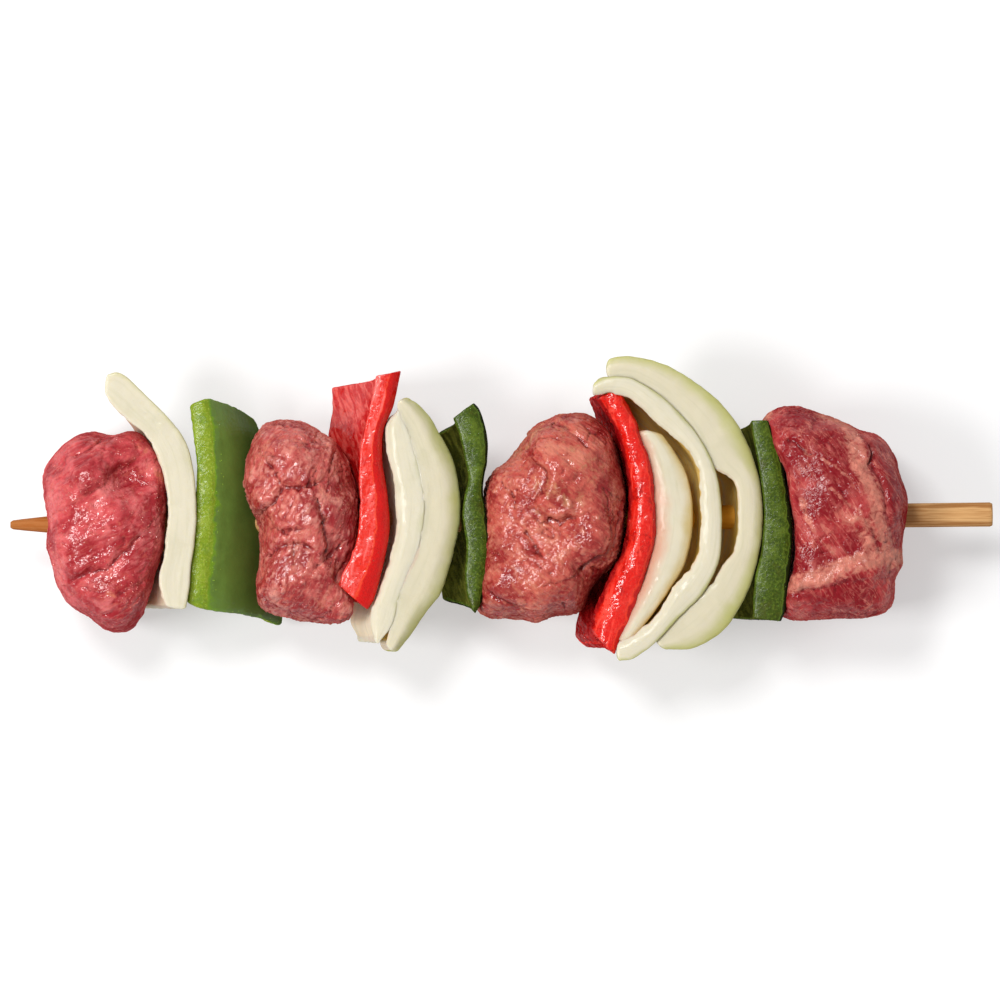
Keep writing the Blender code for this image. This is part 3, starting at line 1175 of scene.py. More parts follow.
    def _shaped(self, local: np.ndarray, normals: np.ndarray) -> tuple[np.ndarray, np.ndarray]:
        """The piece with its swells, folds and fat, and how fatty each point is.

        Args:
            local: The points in millimetres round the axis.
            normals: Their normals.

        Returns:
            The moved points, and how fatty each is, from 0 to 1.
        """
        noise = Noise(self.seed)
        top = ease(normals[:, 2], -0.1, 0.5)
        rise = 0.7 * noise.layered(local / 8.0, 3)
        plan = local[:, :2] + (noise.vectors(local / 3.0) * 0.7)[:, :2]
        for swell in self.swells:
            distance = np.hypot(*(plan - swell.at).T) / swell.radius
            rise += swell.height * np.exp(-(distance**2)) * top
        for fold in self.folds:
            distance, along, side = from_path(plan, fold.path)
            ends = ease(along, 0.0, 0.15) * ease(along, 1.0, 0.85)
            groove = fold.depth * np.exp(-((distance / fold.width) ** 2)) * ends
            fade = np.exp(-((distance / fold.reach) ** 2)) * np.maximum(ends, 0.3)
            shelf = fold.step * side * (1 - np.exp(-distance / fold.width)) * fade
            rise += (shelf - groove) * top
        fat = np.zeros(len(local))
        for streak in self.streaks:
            distance, _, _ = from_path(plan, streak.path)
            cover = 1 - ease(distance, streak.width * 0.4, streak.width * 1.5)
            fat = np.maximum(fat, cover * streak.strength * ease(normals[:, 2], -0.4, 0.1))
            rise += streak.height * cover * top
        return local + normals * rise[:, None], fat

    @staticmethod
    def _patches(local: np.ndarray, patches: Sequence[Swell]) -> np.ndarray:
        """How far each point lies inside any of some round patches.

        Args:
            local: The points in millimetres round the axis.
            patches: The patches.

        Returns:
            1 well inside a patch and 0 outside, for each point.
        """
        inside = np.zeros(len(local))
        for patch in patches:
            inside = np.maximum(
                inside, np.exp(-((np.hypot(*(local[:, :2] - patch.at).T) / patch.radius) ** 4))
            )
        return inside

    def _relief(self, local: np.ndarray) -> np.ndarray:
        """The height of the grain, crumb and small creases at each point.

        Args:
            local: The points in millimetres round the axis.

        Returns:
            The height at each point, in millimetres.
        """
        noise = Noise(self.seed + 1)
        turn = math.radians(self.grain)
        lengthwise = local[:, 0] * math.cos(turn) + local[:, 1] * math.sin(turn)
        crosswise = local[:, 1] * math.cos(turn) - local[:, 0] * math.sin(turn)
        warp = local + 0.9 * noise.vectors(local / 3.0)
        bend = noise.layered(local / 6.0, 2)
        fibres = np.column_stack([lengthwise / 9.0, crosswise / 1.2 + bend, local[:, 2] / 3.0])
        grain = self.grain_depth * (0.5 - noise.lines(fibres, 0.12))
        rough = 1 - 0.85 * self._patches(local, self.calm)
        big = noise.cells(warp / self.crumb_size)
        small = noise.cells(warp / (self.crumb_size * 0.45) + 5.0)
        crumb = self.crumb * (0.8 * big + 0.45 * small - 0.5) * (
            0.7 + 0.6 * noise.layered(local / 7.0, 1)
        )
        slanted = np.column_stack(
            [lengthwise / 9.0, crosswise / 5.0 + bend * 0.5, local[:, 2] / 6.0]
        )
        lines = noise.lines(slanted + 40.0, 0.05) * ease(
            noise.layered(local / 6.0 + 9.0, 1), -0.35, 0.2
        )
        lumps = 0.22 * noise.layered(warp / 3.2 + 3.0, 2)
        return grain + (crumb + lumps) * rough - self.crease * lines + 0.05 * noise.layered(
            local / 0.8, 2
        )

    def _gripped(self, local: np.ndarray) -> np.ndarray:
        """The hole closed onto the skewer, which the meat holds tight.

        Args:
            local: The points in millimetres round the axis.

        Returns:
            The moved points.
        """
        radius = np.hypot(local[:, 1], local[:, 2])
        squeeze = np.where(radius < self.hole, self.grip / np.maximum(radius, 1e-3), 1.0)
        return local * np.column_stack([np.ones(len(local)), squeeze, squeeze])

    @staticmethod
    def _on_table(places: np.ndarray) -> np.ndarray:
        """The same points, none of them under the table."""
        return np.column_stack([places[:, :2], np.maximum(places[:, 2], 0.0)])

    @staticmethod
    def _hollow(obj: bpy.types.Object) -> np.ndarray:
        """How deep each vertex lies among its neighbours, from 0 to 1, for the painted shade.

        Args:
            obj: The piece.

        Returns:
            The number at each vertex.
        """
        places, normals = read_points(obj)
        pairs = np.empty(len(obj.data.edges) * 2, int)
        obj.data.edges.foreach_get("vertices", pairs)
        pairs = pairs.reshape(-1, 2)
        run = places[pairs[:, 1]] - places[pairs[:, 0]]
        length = np.linalg.norm(run, axis=1) + 1e-9
        count = np.bincount(pairs.ravel(), minlength=len(places))
        value = np.zeros(len(places))
        for end, sign in ((0, 1.0), (1, -1.0)):
            rise = (run * normals[pairs[:, end]]).sum(axis=1) * sign / length
            np.add.at(value, pairs[:, end], rise)
        value /= np.maximum(count, 1)
        rounds, gain = 3, 6.0
        for _ in range(rounds):
            spread = np.zeros(len(places))
            np.add.at(spread, pairs[:, 0], value[pairs[:, 1]])
            np.add.at(spread, pairs[:, 1], value[pairs[:, 0]])
            value = 0.5 * value + 0.5 * spread / np.maximum(count, 1)
        return np.clip(value * gain, 0, 1)


# ---------------------------------------------------------------- onion layers and pepper panels


class Hang(Enum):
    """How a wall goes down from its cut edge."""

    TUCKS_UNDER = "hangs straight, then curves towards -X"
    LIES_BACK = "slopes away at once and steepens"


@dataclass
class Wall:
    """An onion layer or a pepper panel: a thick sheet with a cut upper edge.

    Attributes:
        node: The CAD node that it stands for, and its name.
        slot: The record's material slot.
        finish: What its surface is like.
        inner: Edge of the cut towards -X in plan, from the +Y end.
        outer: Edge of the cut towards +X in plan, from the +Y end.
        height: The cut edge above the skewer's axis.
        drop: From the cut edge down to the foot.
        lean: How far the foot lies towards -X of the cut edge.
        slant: How far the foot lies towards -Y of the cut edge.
        sheet: Thickness lower down, where the cut edge is wider than the layer.
        curl: How late the wall curves under; 2 is even.
        belly: How far the outer face bulges past the cut edge.
        falls: How far the cut's inner and outer edges lie below its middle.
        rim: Radius of the rounded edges.
        tip: How far the rounded ends reach, for half the width at the end, or 0 for blunt ends.
        ragged: How uneven the two edges of the cut are.
        grain_height: Height of the fine grain on the cut edge.
        ridge_height: Height of the ridges on the inner face.
        hang: How the wall goes down.
        seed: Seed of its noise.
        step: Size of a face.
        thinned: Depths below the cut where its width starts and ends to shrink to the layer's.
        crest: How far below the cut its unevenness reaches.
    """

    node: str
    slot: str
    finish: Finish
    inner: Sequence[Point]
    outer: Sequence[Point]
    height: Ends = (17, 17, 17)
    drop: Ends = (30, 30, 30)
    lean: Ends = (8, 8, 8)
    slant: Ends = (0, 0, 0)
    sheet: float = 5.0
    curl: float = 2.0
    belly: float = 0.0
    falls: Point = (0.0, 0.0)
    rim: float = 0.6
    tip: float = 0.0
    ragged: Point = (0.1, 0.05)
    grain_height: float = 0.08
    ridge_height: float = 0.0
    hang: Hang = Hang.TUCKS_UNDER
    seed: int = 1
    step: float = 0.5
    thinned: Point = (0.5, 9.0)
    crest: float = 6.0
    _edges: tuple = field(default=(), repr=False)

    def build(self, stick: StickFrame) -> bpy.types.Object:
        """Make the wall in place of its solid.

        Args:
            stick: Where the skewer's axis runs.

        Returns:
            The finished piece.
        """
        self._edges = (smooth_path(self.inner, EDGE_POINTS), smooth_path(self.outer, EDGE_POINTS))
        rows, loop = self._rows(), self._loop()
        points, values = self._swept(rows, loop)
        obj = add_mesh(self.node + "_slice", stick.place(points), ring_faces(len(rows), len(loop)))
        write_values(obj, **values)
        close_ends(obj)
        self._roughen(obj, stick)
        obj.data.materials.append(self.finish.material())
        return obj

    def _cut_at(self, along: np.ndarray) -> tuple[np.ndarray, np.ndarray]:
        """The middle of the cut edge and the vector from there to its outer edge.

        Args:
            along: Shares of the way along the cut, from 0 to 1.

        Returns:
            The middle and the vector at each share.
        """
        spots = np.linspace(0, 1, EDGE_POINTS)
        inner, outer = (
            np.column_stack([np.interp(along, spots, edge[:, axis]) for axis in (0, 1)])
            for edge in self._edges
        )
        return (inner + outer) / 2, (outer - inner) / 2

    def _half_at(self, along: float) -> float:
        """Half the width of the cut edge."""
        return float(np.hypot(*self._cut_at(np.array([along]))[1][0]))

    def _rows(self) -> np.ndarray:
        """Share along, run past the end, width share and inset of each ring, from the +Y end.

        Returns:
            The four numbers of each ring, one ring in each row.
        """
        length = np.linalg.norm(np.diff(self._edges[1], axis=0), axis=1).sum()
        body = np.linspace(0, 1, round(length / self.step) + 1)
        caps = []
        for end, sign in ((0.0, -1), (1.0, 1)):
            half = self._half_at(end)
            rim = min(self.rim, half * 0.9)
            taper, run = (half, half * self.tip) if self.tip else (rim, rim)
            turns = [(math.sin(t), 1 - math.cos(t)) for t in np.radians((15, 30, 45, 60, 75, 90))]
            cap = [
                (end, sign * run * ahead, 1 - taper / half * back, rim * back)
                for ahead, back in turns
            ]
            if not self.tip:
                cap += [(end, sign * run, cap[-1][2] * share, rim) for share in (0.66, 0.33, 0.0)]
            caps.append(cap)
        return np.array(caps[0][::-1] + [(share, 0.0, 1.0, 0.0) for share in body] + caps[1])

    def _loop(self) -> np.ndarray:
        """The ring's own points: side from -1 to 1, and share of the way down.

        Returns:
            The two numbers of each point, one point in each row.
        """
        half, depth, rim = self._half_at(0.5), self.drop[1], self.rim
        foot = min(half, self.sheet / 2) * 0.9
        corners = [(-half, depth - foot), (-half, rim)]
        corners += [
            (-half + rim * (1 - math.cos(t)), rim * (1 - math.sin(t)))
            for t in np.radians((30, 60, 90))
        ]
        corners += [
            (half - rim * (1 - math.cos(t)), rim * (1 - math.sin(t)))
            for t in np.radians((90, 60, 30))
        ]
        corners += [(half, rim), (half, depth - foot)]
        rounding = np.radians((25, 50, 75, 105, 130, 155))
        corners += [(half * math.cos(t), depth - foot + foot * math.sin(t)) for t in rounding]
        outline = np.array(corners + corners[:1])
        gone = np.concatenate([[0], np.cumsum(np.linalg.norm(np.diff(outline, axis=0), axis=1))])
        spots = np.linspace(0, gone[-1], round(gone[-1] / self.step) + 1)[:-1]
        ring = np.column_stack([np.interp(spots, gone, outline[:, axis]) for axis in (0, 1)])
        return ring / (half, depth)

    def _swept(
        self, rows: np.ndarray, loop: np.ndarray
    ) -> tuple[np.ndarray, dict[str, np.ndarray]]:
        """The rings' points, and what the materials need to know of each.

        Args:
            rows: What _rows gives.
            loop: What _loop gives.

        Returns:
            The points in millimetres, and the numbers for each by name.
        """
        along, run, narrow, inset = (np.repeat(rows[:, column], len(loop)) for column in range(4))
        across, down = (np.tile(loop[:, column], len(rows)) for column in range(2))
        depth = quadratic(self.drop, along)
        lowered = (inset + down * (depth - 2 * inset)) / depth
        below = lowered * depth
        middle, half = self._cut_at(along)
        nudge = 2e-3
        ahead = self._cut_at(along + nudge)[0] - self._cut_at(along - nudge)[0]
        ahead /= np.linalg.norm(ahead, axis=1)[:, None]
        top = np.hypot(half[:, 0], half[:, 1])
        outward = half / top[:, None]
        thin = ease(below, *self.thinned)
        width = (top * (1 - thin) + np.minimum(top, self.sheet / 2) * thin) * narrow
        shift = 1 - (1 - lowered) ** 2 if self.hang is Hang.LIES_BACK else lowered**self.curl
        noise = Noise(self.seed)
        length = along * np.linalg.norm(np.diff(self._edges[1], axis=0), axis=1).sum()
        crest = ease(below, self.crest, 0.0)
        uneven = noise.layered(
            np.column_stack([length / 2.2, across * 0.8, np.zeros(len(along))]), 3
        )
        push = uneven * np.where(across < 0, -self.ragged[0], self.ragged[1]) * ease(
            np.abs(across), 0.5, 1.0
        )
        side = across * width + push * crest * narrow
        side += self.belly * np.sin(np.pi * np.clip(lowered / 0.55, 0, 1))
        plan = middle + outward * side[:, None] + ahead * run[:, None]
        plan[:, 0] -= quadratic(self.lean, along) * shift
        plan[:, 1] -= quadratic(self.slant, along) * lowered
        fall = self.falls[0] * np.clip(-across, 0, 1) ** 2 + self.falls[1] * np.clip(
            across, 0, 1
        ) ** 2
        height = quadratic(self.height, along) - below - fall * crest
        height += crest * 0.15 * noise.layered(np.column_stack([length / 8.0, across, below]), 2)
        inside = ease(below, self.rim * 1.8, self.rim * 0.6)
        cut = np.maximum(inside, ease(np.abs(run), 0.1, 0.4))
        values = {"across": across, "down": below, "along": length, "cut": cut}
        return np.column_stack([plan, height]), values

    def _roughen(self, obj: bpy.types.Object, stick: StickFrame) -> None:
        """Raise the grain of the cut edge and the ridges of the inner face.

        Args:
            obj: The wall.
            stick: Where the skewer's axis runs.
        """
        places, normals = read_points(obj)
        local = stick.local(places)
        noise = Noise(self.seed + 7)
        across, cut, along, down = (
            read_value(obj, name) for name in ("across", "cut", "along", "down")
        )
        rise = 0.12 * noise.layered(local / 6.0, 2)
        rise += self.grain_height * cut * noise.layered(local / 1.5, 2)
        inner = ease(across, 0.0, -0.8) * (1 - cut)
        ridges = noise.layered(np.column_stack([(along + down * 0.6) / 1.8, down / 9.0, across]), 2)
        rise += self.ridge_height * inner * ridges
        write_points(obj, places + normals * (rise * MM)[:, None])


# ---------------------------------------------------------------- skewer


@dataclass
class Skewer:
    """The bamboo stick, with fibres along it.

    Attributes:
        finish: What its surface is like.
        diameter: Its diameter.
        length: Its length.
        taper: Distance from the point and the diameter there, in pairs.
        sides: How many points a ring has.
        step: Distance from ring to ring.
        chamfer: Size of the broken edge at the cut end.
        seed: Seed of its noise.
    """

    finish: Finish
    diameter: float
    length: float
    taper: Sequence[Point] = ((0.0, 1.5), (0.5, 2.3), (3.5, 3.0), (9.0, 4.1), (22.0, 6.0))
    sides: int = 72
    step: float = 0.7
    chamfer: float = 0.3
    seed: int = 90

    def build(self, stick: StickFrame) -> bpy.types.Object:
        """Make the stick in place of its solid.

        Args:
            stick: Where the skewer's axis runs.

        Returns:
            The finished piece.
        """
        body = np.arange(0, self.length - self.chamfer, self.step)
        stops, sizes = zip(*self.taper)
        radius = np.interp(body, (*stops, self.length), (*sizes, self.diameter)) / 2
        at = np.concatenate([[0.0, 0.0], body, [self.length] * 3])
        flat_end = [self.diameter / 2 - self.chamfer, 1.4, 0.0]
        radius = np.concatenate([[0.0, radius[0] * 0.6], radius, flat_end])
        turn = np.linspace(0, math.tau, self.sides, endpoint=False)
        x = np.repeat(at - self.length / 2, self.sides)
        angle = np.tile(turn, len(at))
        size = np.repeat(radius, self.sides)
        noise = Noise(self.seed)
        ring = np.column_stack([np.cos(angle) * 6, np.sin(angle) * 6, x / 60])
        size = size * (1 + 0.03 * noise.smooth(ring / 4) + 0.02 * noise.layered(ring * 1.7, 2))
        points = np.column_stack([x, size * np.cos(angle), size * np.sin(angle)])
        obj = add_mesh("bamboo_stick", stick.place(points), ring_faces(len(at), self.sides))
        close_ends(obj)
        obj.data.materials.append(self.finish.material())
        return obj


# ---------------------------------------------------------------- the kebab's finishes

BEEF_PINK = BeefFinish(
    "raw_beef_pink", glow=0.12, wet=0.85, film_roughness=0.14, ripple_height=0.38, relief=0.5,
    bright=srgb(190, 68, 72), deep=srgb(150, 30, 38), film=srgb(220, 122, 120),
    fat=srgb(216, 124, 96), grain=25.0, marbling=0.2,
)
BEEF_BROWN = BeefFinish(
    "raw_beef_brown", glow=0.12, wet=1.0, film_roughness=0.16, relief=0.6, bright=srgb(184, 80, 74),
    deep=srgb(142, 32, 36), film=srgb(216, 142, 128), fat=srgb(212, 142, 112), grain=65.0,
    marbling=0.35,
)
BEEF_RUSSET = BeefFinish(
    "raw_beef_russet", glow=0.12, wet=0.9, film_roughness=0.16, relief=0.6,
    bright=srgb(180, 74, 64), deep=srgb(140, 34, 34), film=srgb(208, 130, 108),
    fat=srgb(200, 132, 98), grain=-38.0, marbling=0.3,
)
BEEF_MARBLED = BeefFinish(
    "raw_beef_marbled", glow=0.12, wet=0.6, film_roughness=0.18, relief=0.45,
    bright=srgb(160, 46, 48), deep=srgb(126, 14, 24), film=srgb(190, 100, 93),
    fat=srgb(210, 128, 110), grain=-58.0, marbling=0.5,
)
ONION = {
    "glow": 0.5, "glow_depth": (4.0, 3.5, 2.4), "wet": 0.25, "ripple_height": 0.06, "relief": 0.06
}
ONION_CREAM = OnionFinish("onion_cream", **ONION)
ONION_PALE = OnionFinish(
    "onion_pale", rim_from=0.7, rim=srgb(190, 184, 146), lining=srgb(222, 206, 176), **ONION
)
ONION_GREENISH = OnionFinish(
    "onion_greenish", rim_from=0.05, cream=srgb(200, 192, 168), rim=srgb(174, 173, 104), **ONION
)
ONION_BLUSHED = OnionFinish(
    "onion_blushed", rim_from=0.3, rim=srgb(182, 162, 106), blush=srgb(198, 142, 118), blush_to=0.1,
    **ONION
)
PEPPER_LIME = PepperFinish(
    "pepper_lime", glow=0.1, wet=0.5, film_roughness=0.2, ripple=1.0, ripple_height=0.2,
    relief=0.45, skin=srgb(98, 127, 54), flesh=srgb(121, 143, 27), juice=srgb(160, 176, 74),
    juice_amount=0.7, lining=srgb(100, 128, 40), lining_pale=srgb(136, 158, 70), skin_from=0.85,
    seam=srgb(100, 140, 30),
)
PEPPER_RED = PepperFinish(
    "pepper_scarlet", glow=0.1, wet=1.0, film_roughness=0.21, ripple=3.0, ripple_height=0.55,
    relief=0.5, skin=srgb(212, 12, 6), flesh=srgb(222, 34, 14), juice=srgb(230, 98, 92),
    juice_amount=0.6, lining=srgb(192, 18, 20), lining_pale=srgb(224, 88, 80), skin_from=0.1,
    seam=srgb(230, 70, 40), highlight_streaks=0.75,
)
PEPPER_CRIMSON = PepperFinish(
    "pepper_crimson", glow=0.1, wet=1.0, film_roughness=0.17, ripple=2.5, ripple_height=0.7,
    relief=0.55, skin=srgb(196, 12, 12), flesh=srgb(222, 24, 12), juice=srgb(232, 76, 62),
    juice_amount=0.45, lining=srgb(140, 8, 12), lining_pale=srgb(176, 30, 30), skin_from=0.75,
    lining_to=-0.75, seam=srgb(230, 56, 30), highlight_streaks=0.6,
)
PEPPER_DARK = PepperFinish(
    "pepper_dark_green_flesh", glow=0.06, wet=0.45, wet_facing=(0.5, 0.9), film_roughness=0.24,
    ripple=0.8, ripple_height=0.14, relief=0.3, skin=srgb(30, 40, 14),
    flesh=srgb(56, 74, 14), juice=srgb(98, 117, 36), juice_amount=0.8, lining=srgb(66, 70, 18),
    lining_pale=srgb(104, 106, 40), skin_from=0.75, seam=srgb(86, 108, 34),
)
BAMBOO = BambooFinish("bamboo_grain", glow=0.0, wet=0.0, relief=0.12)
CLEAR_BEAD = {"glow": 0.3, "wet": 1.0, "film_roughness": 0.05, "relief": 0.02}
MEAT_JUICE = JuiceFinish("meat_juice", tint=srgb(206, 96, 90), **CLEAR_BEAD)
LIME_JUICE = JuiceFinish("lime_juice", tint=srgb(150, 184, 60), **CLEAR_BEAD)
RED_JUICE = JuiceFinish("red_juice", tint=srgb(214, 34, 24), **CLEAR_BEAD)
GREEN_JUICE = JuiceFinish("green_juice", tint=srgb(84, 112, 40), **CLEAR_BEAD)

# ---------------------------------------------------------------- the kebab's pieces

